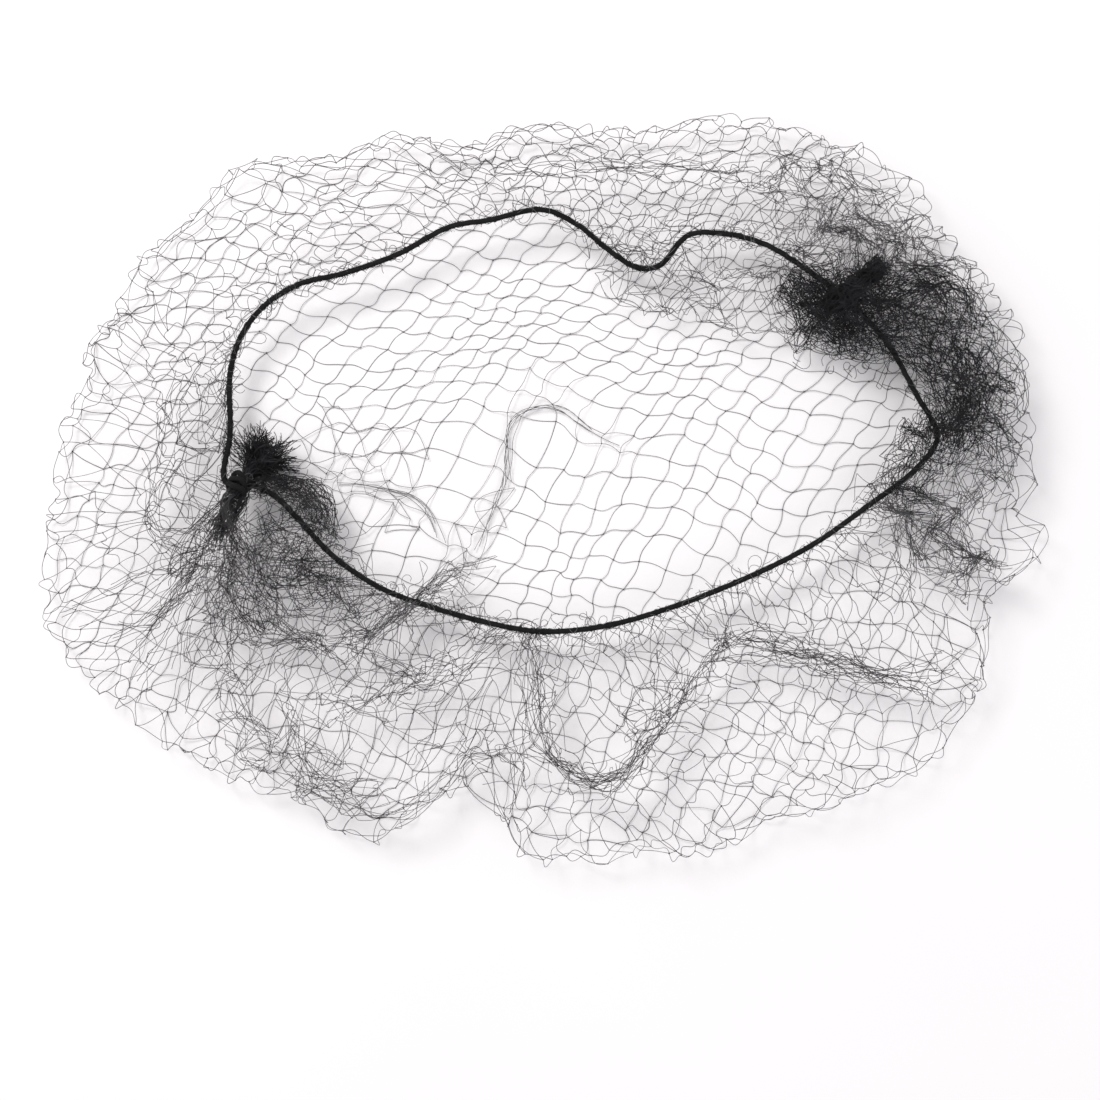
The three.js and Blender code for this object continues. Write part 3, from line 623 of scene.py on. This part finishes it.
def curls_at(hearts, lift, rng):
    """Short curls, thick round each heart."""
    paths = []
    for centre, spread, heading, count in hearts:
        off = rng.normal(0, 1, (count, 2)) * spread
        ahead, aside = direction(heading)[:2], direction(heading + 90)[:2]
        plan = line_points([centre]) + off[:, :1] * ahead + off[:, 1:] * aside
        starts = on_side(plan, lift + rng.normal(0, lift * 0.4, count))
        lengths = rng.uniform(4, 9, count)
        paths.append(coils(starts, lengths, steps=12, tightness=1.0, rng=rng, lift=1.4))
    return np.vstack(paths)


def walks(starts, headings, lengths, steps, curl, rng, flatten=0.5):
    """Loose curly threads, whose heading turns at random from step to step."""
    ahead = unit(headings)
    bend = rng.normal(size=ahead.shape) * (1, 1, flatten)
    points = [starts]
    for _ in range(steps - 1):
        bend = 0.72 * bend + 0.7 * rng.normal(size=ahead.shape) * (1, 1, flatten)
        ahead = unit(ahead + curl * bend)
        points.append(points[-1] + ahead * (lengths / (steps - 1))[:, None])
    return np.stack(points, axis=1)


# Materials

def node(tree, kind, **values):
    """A new node with the given values on its sockets."""
    made = tree.nodes.new("ShaderNode" + kind)
    for socket, value in values.items():
        made.inputs[socket.replace("_", " ")].default_value = value
    return made


def wire(tree, *wires):
    for start, output, end, socket in wires:
        tree.links.new(start.outputs[output], end.inputs[socket])


def coloured(name, colours, span, grain, detail, shine):
    """A material whose colour goes from one to another in soft patches, and its nodes."""
    made = bpy.data.materials.new(name)
    made.use_nodes = True
    tree = made.node_tree
    shader = tree.nodes["Principled BSDF"]
    shader.inputs["Specular IOR Level"].default_value = shine
    place = node(tree, "TexCoord")
    patches = node(tree, "TexNoise", Scale=grain, Detail=detail)
    ramp = node(tree, "ValToRGB")
    for element, position, colour in zip(ramp.color_ramp.elements, span, colours):
        element.position = position
        element.color = (*colour, 1)
    wire(tree, (place, "Object", patches, "Vector"), (patches, "Fac", ramp, "Fac"))
    wire(tree, (ramp, "Color", shader, "Base Color"))
    return made, shader, place, patches


def material(name, colours, roughness, grain, bump, sheen=0.0):
    """Yarn: its colour and roughness vary along it, and fine fibres roughen its surface."""
    made, shader, place, patches = coloured(name, colours, (0.32, 0.7), grain, detail=5, shine=0.2)
    shader.inputs["Sheen Weight"].default_value = sheen
    shader.inputs["Sheen Roughness"].default_value = 0.45
    tree = made.node_tree
    dull = node(tree, "MapRange", To_Min=roughness - 0.12, To_Max=roughness + 0.12)
    fibres = node(tree, "TexNoise", Scale=grain * 14, Detail=3)
    raised = node(tree, "Bump", Strength=bump, Distance=0.05 * MM)
    wire(tree, (patches, "Fac", dull, "Value"), (dull, "Result", shader, "Roughness"))
    wire(tree, (place, "Object", fibres, "Vector"), (fibres, "Fac", raised, "Height"))
    wire(tree, (raised, "Normal", shader, "Normal"))
    return made


# The same black nylon in lit and shaded copies. The crown's copy is the lightest: painted light on the
# flat, open crown.
crown_nylon_painted_light = material(
    "nylon_thread_of_the_crown_painted_light", [(0.1, 0.097, 0.1), (0.2, 0.196, 0.2)], roughness=0.45, grain=160, bump=0.3
)
# The side's copy is darker than the crown's: painted shade of the folded, layered side.
nylon = material(
    "nylon_thread", [(0.045, 0.043, 0.046), (0.12, 0.116, 0.121)], roughness=0.45, grain=160, bump=0.3
)
# The gathered copy is near black, darker than the side's: the thread's own black together with painted
# shade of the packed threads in the gathers and tufts.
gathered = material(
    "gathered_nylon_painted_shade", [(0.008, 0.008, 0.009), (0.03, 0.029, 0.033)], roughness=0.6, grain=260, bump=0.4
)
# The drawn-in copy is darker than the side's: painted shade of the threads packed into the left gather.
drawn_in = material(
    "drawn_in_nylon_painted_shade", [(0.018, 0.017, 0.019), (0.06, 0.058, 0.061)], roughness=0.5, grain=200, bump=0.3
)
elastic = material(
    "covered_elastic", [(0.002, 0.002, 0.002), (0.009, 0.009, 0.01)], 0.85, grain=420, bump=0.8, sheen=0.05
)


# The net's threads

def make_net():
    """The net's threads and knots. Gives back where its threads end at the cord."""
    rng = seeded(20)
    pattern, pairs, family_sign = net_lattice()
    within = norm(pattern, axis=1) < pattern_reach(pattern)
    inner = within[pairs]
    kept = inner.any(axis=1)
    pairs = np.where(inner[:, :1], pairs, pairs[:, ::-1])[kept]
    side = family_sign[kept] * rng.choice([1, 1, 1, 1, -1], len(pairs))
    whole = within[pairs].all(axis=1)
    even, share = sheet(pattern)
    places = unrest(even, share, rng)
    crown = share < 0
    places[~crown] = draw_into_fan(places[~crown], share[~crown])
    places[~crown] = draw_into_folds(places[~crown], SIDE_FOLDS, 0.8, FOLD_SPREAD, rng)
    places[~crown] = draw_into_folds(places[~crown], SLIGHT_FOLDS, 1.8, FOLD_SPREAD, rng)
    arched = arch_crown(places[crown], share[crown])
    places[crown] = draw_into_folds(arched, CROWN_CREASES, 0.7, 0.5, rng)
    places[:, 2] = np.maximum(places[:, 2], THREAD + 0.02 + 0.25 * rng.random(len(places)))
    moved = places - even
    moved[~within] = 0
    flat_ends = pattern[pairs[:, 1]].copy()
    flat_ends[~whole] = trim_to_rim(pattern[pairs[~whole, 0]], flat_ends[~whole])
    steps = 10
    flat_paths = straight(pattern[pairs[:, 0]], flat_ends, steps)
    paths = sheet(flat_paths.reshape(-1, 2))[0].reshape(len(pairs), steps, 3)
    end_moved = np.where(whole[:, None], moved[pairs[:, 1]], 0)
    paths = paths + straight(moved[pairs[:, 0]], end_moved, steps)
    rest = norm(flat_ends - pattern[pairs[:, 0]], axis=1) * STRAND_SLACK
    rest = rest * rng.uniform(0.97, 1.06, len(pairs))
    in_crown = crown[pairs[:, 0]] & crown[pairs[:, 1]]
    side[~in_crown] = rng.choice([-1, 1], (~in_crown).sum())
    for name, chosen, steepness, most, girth, solid, painted_tone in (
        ("net_crown_threads", in_crown, 0.15, CROWN_BOW, CROWN_THREAD, "net_crown", crown_nylon_painted_light),
        ("net_side_threads", ~in_crown, 0.6, SIDE_BOW, THREAD, "net_side", nylon),
    ):
        threads = bow_out(paths[chosen], rest[chosen], side[chosen], steepness, rng, most)
        radius = girth * rng.uniform(0.85, 1.2, chosen.sum())
        make_object(name, *tube_mesh(threads, radius, THREAD_SIDES), painted_tone, "net", [solid])
    knots = np.unique(pairs[within[pairs]])
    make_object("net_knots", *knot_mesh(places[knots], rng), nylon, "net")
    return paths[~whole, -1]


def knot_mesh(places, rng):
    """A small tight loop of thread round each crossing."""
    turn = np.linspace(0, 2 * np.pi, 5, endpoint=False)
    first = unit(rng.normal(size=places.shape))
    second = unit(np.cross(first, unit(rng.normal(size=places.shape))))
    size = rng.uniform(0.1, 0.17, len(places))
    paths = places[:, None] + circle(turn, first[:, None], second[:, None]) * size[:, None, None]
    paths[..., 2] = np.maximum(paths[..., 2], LOWEST)
    return thread_mesh(paths, 1.25, closed=True)


def on_side(plan, lift):
    """Points on the side of the bag, or hanging in the opening under the level of the cord."""
    top, in_opening = side_top(plan)
    return np.column_stack([plan, np.where(in_opening, top * HANG, top) + lift])


def make_bunched_folds():
    """Threads drawn together in the folds. Each joins and leaves the bunch at its own place."""
    rng = seeded(40)
    fine_steps, steps = 200, 44
    share = np.linspace(-1, 1, steps)[:, None]
    for name, folds, loose, painted_tone in (
        ("bunched_folds", SIDE_FOLDS + SLIGHT_FOLDS, 1.0, nylon),
        ("crown_creases", CROWN_CREASES, 0.3, crown_nylon_painted_light),
    ):
        paths = []
        for lift, threads, line in folds:
            whole = resample(smooth_curve(line_points(line), False, 12), fine_steps)
            for _ in range(threads):
                first, last = rng.integers(0, 90), rng.integers(110, fine_steps)
                route = resample(whole[first:last], steps)
                seeds = rng.integers(1 << 30, size=3)
                stray = wobble(route, 5, seeds[0]) * 0.3 + wobble(route, 11, seeds[1]) * 0.6
                stray += wobble(route, 32, seeds[2])
                fan = rng.normal(0, 3.4, (1, 2)) * share ** 4 + rng.normal(0, 0.8, (1, 2))
                plan = route + (stray[:, :2] * FOLD_SPREAD + fan) * loose
                if folds is CROWN_CREASES:
                    low = lift * CREASE_LIFT * 0.7 + stray[:, 2] * 0.3
                    paths.append(np.column_stack([plan, np.maximum(low, 0.2)]))
                else:
                    paths.append(on_side(plan, lift * FOLD_LIFT * 0.6 + stray[:, 2] * 0.7))
        paths = keep_inside(np.array(paths), 2)
        make_object(name, *thread_mesh(paths), painted_tone, "net")


def in_outline(plan, margin):
    """Which points lie inside the outline by more than a margin."""
    outer = section(angle_at(plan))[0]
    return norm(plan - OPENING, axis=1) < outer - margin


def keep_inside(paths, margin):
    """The paths that lie inside the outline for their whole length."""
    inside = in_outline(paths[..., :2].reshape(-1, 2), margin)
    return paths[inside.reshape(paths.shape[:2]).all(axis=1)]


def net_patch(centre, half_length, half_width, heading, pitch, stray, seed, on_crown):
    """One crumpled layer of net, as its threads' paths: a ragged oval of mesh that is pushed
    together until its cells overlap. Layers at one place are pushed the same way, so they bunch."""
    rng = seeded(seed)
    turned = heading + rng.uniform(-25, 25)
    along = [direction(turned + 30)[:2] * pitch, direction(turned - 38)[:2] * pitch]
    most = math.ceil(max(half_length, half_width) / pitch * 1.8)
    local, pairs, _, _ = lattice(along, most)
    ahead, aside = direction(heading)[:2], direction(heading + 90)[:2]
    far = np.hypot(local @ ahead / half_length, local @ aside / half_width)
    plan = local + line_points(centre)
    crush = wobble(plan, 14, 601) * stray + wobble(plan, 6, 602) * stray * 0.5
    crush = crush + wobble(plan, 6, seed + 2) * 0.8
    pushed = plan + crush[:, :2] + rng.normal(0, 0.35, plan.shape)
    ragged = far + 0.2 * wobble(local, 14, seed + 1)[:, 0]
    within = (ragged < 1) & in_outline(plan, 5) & in_outline(pushed, 2.5)
    lift = crush[:, 2] * 0.5 + rng.normal(0, 0.4, len(plan))
    if on_crown:
        places = np.column_stack([pushed, 0.3 + np.abs(lift)])
    else:
        places = on_side(pushed, lift)
    pairs = pairs[within[pairs].all(axis=1)]
    for _ in range(2):  # threads that hang by one end go
        joined = np.bincount(pairs.ravel(), minlength=len(plan))
        pairs = pairs[(joined[pairs] > 1).all(axis=1)]
    paths = straight(places[pairs[:, 0]], places[pairs[:, 1]], 5)
    side = rng.choice([-1.0, 1.0], len(pairs))
    return bow_out(paths, np.full(len(pairs), pitch * LAYER_SLACK), side, 0.6, rng, LAYER_BOW)


def layers_of(rows, first_seed, shrink=0.0, on_crown=False):
    """Crumpled layers one by one, each with its number among those at its place. shrink is by how
    much each is smaller than the last."""
    for row, (centre, sizes, heading, pitch, stray, layers) in enumerate(rows):
        for layer in range(layers):
            length, width = (size * (1 - shrink * layer) for size in sizes)
            seed = first_seed + 20 * row + layer
            yield layer, net_patch(centre, length, width, heading, pitch, stray, seed, on_crown)


def make_crumpled_net():
    for name, zones, on_crown, painted_tone in (
        ("crumpled_net", CRUMPLED, False, nylon),
        ("crumpled_crown", CRUMPLED_CROWN, True, crown_nylon_painted_light),
    ):
        layers = layers_of(zones, 500, 0.14, on_crown)
        make_object(name, *join([thread_mesh(paths, 0.95) for _, paths in layers]), painted_tone, "net")


def strand_threads(strands, lift, rng):
    """Threads that run together in wide loose strands over the side, each for its own stretch."""
    fine_steps, steps = 120, 30
    paths = []
    for line, half_width, threads, stray in strands:
        curve = on_side(smooth_curve(line_points(line), False, 16), lift)

        def width(share, half_width=half_width):
            return half_width * np.interp(share, [0, 0.3, 1], [0.4, 1, 1.3])

        for path in bundle_threads(curve, width, 0.5, threads, fine_steps, stray, rng):
            first, last = rng.integers(0, 36), rng.integers(72, fine_steps)
            path = resample(path[first:last], steps)
            seeds = rng.integers(1 << 30, size=2)
            kinks = wobble(path, 4.5, seeds[0]) * 0.35 + wobble(path, 9, seeds[1]) * 0.6
            paths.append(path + kinks * (1, 1, 0.5))
    return thread_mesh(np.array(paths), 1.05)


# The elastic cord

def cord_route():
    """The whole loop, through the knot."""
    loop = smooth_curve(rim_points(), True, 24)
    return resample(np.vstack([loop, loop[:1]]), 1301)[:-1]


def braided(route, radius, sides, turns, seed, closed=False):
    """A cord with the uneven surface of a braided cover, which turns so many times along it."""
    rng = seeded(seed)
    along = np.linspace(0, 2 * np.pi * turns, len(route))[:, None]
    round_it = 2 * np.pi * np.arange(sides) / sides
    ridges = np.maximum(np.sin(3 * round_it + along), np.sin(3 * round_it - along))
    surface = 0.9 + 0.09 * ridges + rng.normal(0, 0.035, (1, len(route), sides))
    return tube_mesh(route[None], radius, sides, closed, surface)


def fuzz(route, count, radius, length, rng):
    """Short stray fibres that stand out of a cord's cover."""
    at = rng.integers(0, len(route) - 1, count)
    ahead = unit(route[at + 1] - route[at])
    out = unit(np.cross(ahead, rng.normal(size=(count, 3))))
    starts = route[at] + out * radius * 0.85
    headings = out + ahead * rng.normal(0, 0.9, (count, 1))
    paths = walks(starts, headings, rng.uniform(*length, count), steps=5, curl=0.35, rng=rng)
    return tube_mesh(paths, FIBRE, THREAD_SIDES)


def make_cord():
    rng = seeded(60)
    route = cord_route()
    radius = CORD_DIAMETER / 2
    cover = braided(route, radius * CORD_COVER, sides=14, turns=110, seed=61, closed=True)
    make_object("elastic_cord_cover", *cover, elastic, "elastic", ["elastic_cord"])
    make_object("elastic_cord_fuzz", *fuzz(route, 1900, radius, (0.35, 1.1), rng), elastic, "elastic")


def make_rim_loops(ends):
    """Every second end of the net is hitched round the cord, and small slack loops hang off it."""
    rng = seeded(70)
    route = cord_route()
    place = np.array([np.argmin(norm(route[:, :2] - end[:2], axis=1)) for end in ends])[::2]
    ahead = unit(np.roll(route, -2, axis=0) - route)[place]
    first, second = across(ahead)
    turn = np.linspace(0, 2 * np.pi, 11, endpoint=False)
    ring = circle(turn, first[:, None], second[:, None])
    paths = route[place][:, None] + ring * (CORD_DIAMETER / 2 + 0.02)
    paths += ahead[:, None] * (np.sin(turn) * rng.uniform(0.2, 0.9, (len(place), 1)))[..., None]
    make_object("rim_hitches", *thread_mesh(paths, closed=True), elastic, "net")
    slack = rng.integers(0, len(route), RIM_LOOPS)
    lively = 0.5 + 0.5 * np.clip(wobble(route[slack, :2], 38, 71)[:, 0], -1, 1)
    lengths = rng.uniform(4, 11, len(slack)) * (0.3 + lively)
    off = unit(rng.normal(size=(len(slack), 3)) * (1, 1, 0.3)) * (lengths * 0.16)[:, None]
    paths = coils(route[slack] + off, lengths, steps=14, tightness=0.9, rng=rng)
    make_object("rim_loops", *thread_mesh(paths, 0.95), nylon, "net")


# The knot and the left gather

def make_knot():
    """The cord's two ends wound tight round the bundle of net, and cut short."""
    rng = seeded(80)
    first, second = across(KNOT_AXIS)
    turn = np.linspace(-0.3, 2 * np.pi * KNOT_TURNS + 0.3, 170)
    rise = (turn / (2 * np.pi) - KNOT_TURNS / 2) * KNOT_PITCH
    rise = rise + 0.45 * np.sin(turn + 0.8) + 0.3 * np.sin(turn * 2.6)
    wave = KNOT_TIGHTNESS * (1 + 0.1 * np.sin(turn * 1.7) + 0.06 * np.sin(turn * 4.3 + 1))
    coil = KNOT + rise[:, None] * KNOT_AXIS
    coil = coil + COIL_RADIUS * wave[:, None] * circle(turn, first, second)
    radius = CORD_DIAMETER / 2 * KNOT_TIGHTNESS
    meshes = [braided(coil, radius, sides=12, turns=12, seed=81)]
    for end, heading in ((coil[0], 176), (coil[-1], 5)):
        bend, tip = end + direction(heading, 25) * 1.8, end + direction(heading + 20, 5) * 4
        tail = smooth_curve([end, bend, tip], False, 12)
        meshes.append(braided(tail, radius * 0.92, sides=12, turns=2, seed=82))
        meshes.append(fuzz(tail[-6:], 60, radius * 0.5, (0.6, 1.6), rng))
    meshes.append(fuzz(coil, 420, radius, (0.35, 1.0), rng))
    make_object("cord_knot_winding", *join(meshes), elastic, "elastic", ["cord_knot"])


def bundle_threads(curve, half_width, flatness, count, steps, stray, rng, spread=0.55):
    """Threads that run along a curve, each at its own place across the bundle."""
    route = resample(curve, steps)
    ahead = unit(np.gradient(route, axis=0))
    aside = unit(np.cross(ahead, (0, 0, 1.0)))
    above = np.cross(aside, ahead)
    place = rng.normal(0, spread, (count, 1, 2))
    waves = np.stack([wobble(route, 14, int(rng.integers(1 << 30)))[:, :2] for _ in range(count)])
    place = BUNDLE_REACH * np.tanh((place + waves * stray) / BUNDLE_REACH)
    wide = half_width(np.linspace(0, 1, steps))[:, None]
    return route + place[..., :1] * wide * aside + place[..., 1:] * wide * flatness * above


def make_left_gather():
    """The net drawn together at the knot: its lobes, pushed layers, strands, curls and fan."""
    rng = seeded(90)
    start = KNOT - KNOT_AXIS * (NECK_REACH - NECK_DIAMETER / 2)
    meshes = []
    for heading, reach, girth in LEFT_LOBES:
        out = start + direction(heading) * reach * NECK_DIAMETER
        bend = start + (out - start) * 0.4
        out[2] = side_top(out[None, :2])[0][0] + girth * NECK_DIAMETER * LOBE_FLATNESS / 4
        bend[2] = side_top(bend[None, :2])[0][0] + girth * NECK_DIAMETER * LOBE_FLATNESS / 2
        curve = smooth_curve([KNOT + KNOT_AXIS * 2, KNOT - KNOT_AXIS * 2.5, start, bend, out], False, 14)

        def half_width(share, girth=girth):
            opened = np.clip((share - 0.25) / 0.75, 0, 1)
            return NECK_DIAMETER / 2 * (0.75 + (girth - 0.6) * np.sin(np.pi * opened ** 1.2 * 0.72))

        count, steps = int(6 * girth), 26
        threads = bundle_threads(curve, half_width, LOBE_FLATNESS, count, steps, 0.75, rng, spread=0.6)
        meshes.append(thread_mesh(threads, 1.1))
        at = rng.integers(8, steps, int(8 * girth))
        which = rng.integers(0, len(threads), len(at))
        lengths = rng.uniform(5, 13, len(at))
        meshes.append(thread_mesh(coils(threads[which, at], lengths, steps=16, tightness=0.7, rng=rng)))
    meshes += [thread_mesh(paths) for _, paths in layers_of(LEFT_LAYERS, 700)]
    meshes.append(strand_threads(LEFT_STRANDS, 2.0, rng))
    meshes.append(thread_mesh(curls_at(LEFT_HEARTS, LEFT_LIFT, rng)))
    meshes.append(fan_threads(rng))
    make_object("left_gather_threads", *join(meshes), drawn_in, "net", ["left_gather"])
    make_object("left_rope", *strand_threads(LEFT_ROPE, LEFT_LIFT, rng), gathered, "net")


def fan_threads(rng):
    """Threads that run out from the gather over the side, nearly straight."""
    steps = 30
    heading = np.radians(rng.uniform(*FAN_HEADINGS, FAN_THREADS))
    out = np.column_stack([np.cos(heading), np.sin(heading)])
    near, far = rng.uniform(4, 18, FAN_THREADS), rng.uniform(24, 46, FAN_THREADS)
    reach = near[:, None] + (far - near)[:, None] * np.linspace(0, 1, steps)
    plan = np.array(FAN_HEART) + out[:, None] * reach[..., None]
    plan += wobble(plan, 30, 95)[..., :2] * 1.6
    plan += wobble(plan, 5, 96)[..., :2] * 0.35
    paths = on_side(keep_inside(plan, 4).reshape(-1, 2), 0.4).reshape(-1, steps, 3)
    return thread_mesh(paths)


def tuft(root, axis, length, spread, count, curl, rng):
    """Cut ends of the gathered threads, frayed and curled, that spread by so many degrees."""
    first, second = across(axis)
    tilt = np.radians(spread) * np.sqrt(rng.random(count)) * rng.choice([0.6, 1, 1], count)
    turn = rng.uniform(0, 2 * np.pi, count)
    out = circle(turn, first, second)
    starts = root + out * rng.uniform(0, NECK_DIAMETER / 2, (count, 1))
    starts = starts - axis * rng.uniform(0, NECK_DIAMETER, (count, 1))
    headings = axis * np.cos(tilt)[:, None] + out * np.sin(tilt)[:, None]
    lengths = length * rng.uniform(0.55, 1.1, count)
    return walks(starts, headings, lengths, steps=13, curl=curl, rng=rng, flatten=1.0)


def make_left_tuft():
    rng = seeded(100)
    axis = direction(LEFT_TUFT_HEADING, KNOT_RISE)
    root = KNOT + KNOT_AXIS * KNOT_LENGTH / 2 + axis * NECK_DIAMETER * 0.8
    hairs = tuft(root, axis, length=12, spread=42, count=520, curl=0.15, rng=rng)
    neck = smooth_curve([KNOT - KNOT_AXIS * 3, KNOT, root + axis * 1.5], False, 10)

    def half_width(share):
        return np.full(len(share), NECK_DIAMETER / 2)

    threads = bundle_threads(neck, half_width, 1.0, count=110, steps=12, stray=0.1, rng=rng, spread=0.5)
    hairs[..., 2] = np.maximum(hairs[..., 2], 0.2)
    meshes = [thread_mesh(hairs, 1.2), thread_mesh(threads, 1.3)]
    make_object("left_tuft", *join(meshes), gathered, "net")


# The right gather

def gather_curve():
    """The middle of the right gather from end to end."""
    rows = np.array(RIGHT_GATHER)
    plan = line_points(rows[:, :2])
    rise = rows[:, 2] / 100 * GATHER_WIDTH * GATHER_FLATNESS / 4
    return resample(smooth_curve(np.column_stack([plan, side_top(plan)[0] + rise]), False, 20), 60)


def make_right_gather():
    rng = seeded(110)
    curve = gather_curve()
    girths = np.array(RIGHT_GATHER)[:, 2] / 100

    def half_width(share):
        return np.interp(share, np.linspace(0, 1, len(girths)), girths) * GATHER_WIDTH / 2

    steps = 40
    along = bundle_threads(curve, half_width, GATHER_FLATNESS, 34, steps, stray=0.9, rng=rng)
    threads = thread_mesh(along, 1.1)
    make_object("right_gather_threads", *threads, gathered, "net", ["right_gather"])
    count = 300
    at = rng.integers(0, steps, count)
    which = rng.integers(0, len(along), count)
    starts = along[which, at] + rng.normal(0, 2.2, (count, 3)) * (1, 1, 0.4)
    loose = coils(starts, rng.uniform(5, 14, count), steps=15, tightness=0.6, rng=rng, lift=1.4)
    meshes = [thread_mesh(keep_inside(loose, 4))]
    meshes.append(strand_threads(RIGHT_STRANDS, RIGHT_LIFT, rng))
    meshes.append(thread_mesh(curls_at(RIGHT_HEARTS, RIGHT_LIFT, rng)))
    for layer, paths in layers_of(RIGHT_LAYERS, 800):
        meshes.append(thread_mesh(paths + (0, 0, LAYER_LIFT * layer)))
    vertices, faces = join(meshes)
    vertices[:, 2] = np.clip(vertices[:, 2], *RIGHT_HEIGHTS)
    make_object("right_gather_curls", vertices, faces, gathered, "net")
    make_right_tuft(curve[int(RIGHT_TUFT_ROOT * len(curve))], rng)


def make_right_tuft(root, rng):
    """A narrow roll of threads that stands out of the gather, with a frayed end."""
    axis = direction(RIGHT_TUFT_HEADING, RIGHT_TUFT_RISE)
    roll = smooth_curve([root + axis * reach for reach in (-2, 5, 10, 15)], False, 12)
    count, steps, stray = 120, 24, 420
    threads = bundle_threads(roll, lambda share: 2.8 - 0.8 * share, 0.8, count, steps, stray=0.5, rng=rng)
    kinks = wobble(threads, 3.5, 111) * 0.35
    starts = threads[rng.integers(0, count, stray), rng.integers(3, steps, stray)]
    headings = axis + rng.normal(0, 0.9, (stray, 3))
    lengths = rng.uniform(2, 5, stray)
    fray = walks(starts, headings, lengths, steps=8, curl=0.35, rng=rng, flatten=1.0)
    hairs = tuft(root + axis * 13, axis, length=3.5, spread=55, count=160, curl=0.25, rng=rng)
    vertices, faces = join([
        thread_mesh(threads + kinks, 1.1),
        thread_mesh(fray, 0.9),
        thread_mesh(hairs),
    ])
    vertices[:, 2] = np.clip(vertices[:, 2], *RIGHT_TUFT_HEIGHTS)
    make_object("right_tuft", vertices, faces, gathered, "net")


# Table, light and camera

def make_table():
    """A white table top with faint grain."""
    mesh = bpy.data.meshes.new("table_top")
    corners = [(x * TABLE_REACH, y * TABLE_REACH, 0) for x, y in ((-1, -1), (1, -1), (1, 1), (-1, 1))]
    mesh.from_pydata(corners, [], [(0, 1, 2, 3)])
    white = [(0.83, 0.812, 0.826), (0.87, 0.855, 0.868)]
    made, shader, _, _ = coloured("white_table", white, (0, 1), grain=9, detail=2, shine=0.1)
    shader.inputs["Roughness"].default_value = 0.9
    mesh.materials.append(made)
    table = add("table_top", mesh)


def add_area_light(name, place, size, power, colour):
    """A round soft light that shines at the middle of the table."""
    light = bpy.data.lights.new(name, "AREA")
    light.shape = "DISK"
    light.size = size
    light.energy = power
    light.color = colour
    lamp = add(name, light)
    lamp.location = place
    lamp.rotation_mode = "QUATERNION"
    aim = np.array(place)
    lamp.rotation_quaternion = Vector(aim).to_track_quat("Z", "Y")


def make_light():
    add_area_light("key", (-0.45, 0.5, 0.75), size=0.35, power=7.0, colour=(1, 0.985, 0.97))
    add_area_light("fill", (0.7, -0.5, 0.9), size=0.9, power=3.5, colour=(0.97, 0.97, 1))
    world = bpy.data.worlds.new("studio")
    world.use_nodes = True
    world.node_tree.nodes["Background"].inputs["Color"].default_value = (1, 0.99, 1, 1)
    world.node_tree.nodes["Background"].inputs["Strength"].default_value = 0.64
    bpy.context.scene.world = world
    bpy.context.scene.view_settings.view_transform = "Standard"


def make_camera():
    """Straight above the table, framed as the photograph is."""
    camera = bpy.data.cameras.new("camera")
    camera.sensor_width = 36
    camera.lens = 85
    above = FRAME_WIDTH * camera.lens / camera.sensor_width + RIM_HEIGHT
    viewer = add("camera", camera)
    viewer.location = np.array([*FRAME_MIDDLE, above]) * MM
    bpy.context.scene.camera = viewer


# The part's source moves the net's middle to the origin. The cord's box shows by how much.
route = cord_route()
cord_low, cord_high = (np.array(corner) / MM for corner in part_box("elastic_cord"))
SHIFT = (route.min(axis=0) + route.max(axis=0)) / 2 - (cord_low + cord_high) / 2
SHIFT[2] = 0

make_camera()
make_table()
make_light()
rim_ends = make_net()
make_bunched_folds()
make_crumpled_net()
make_cord()
make_rim_loops(rim_ends)
make_knot()
make_left_gather()
make_left_tuft()
make_right_gather()
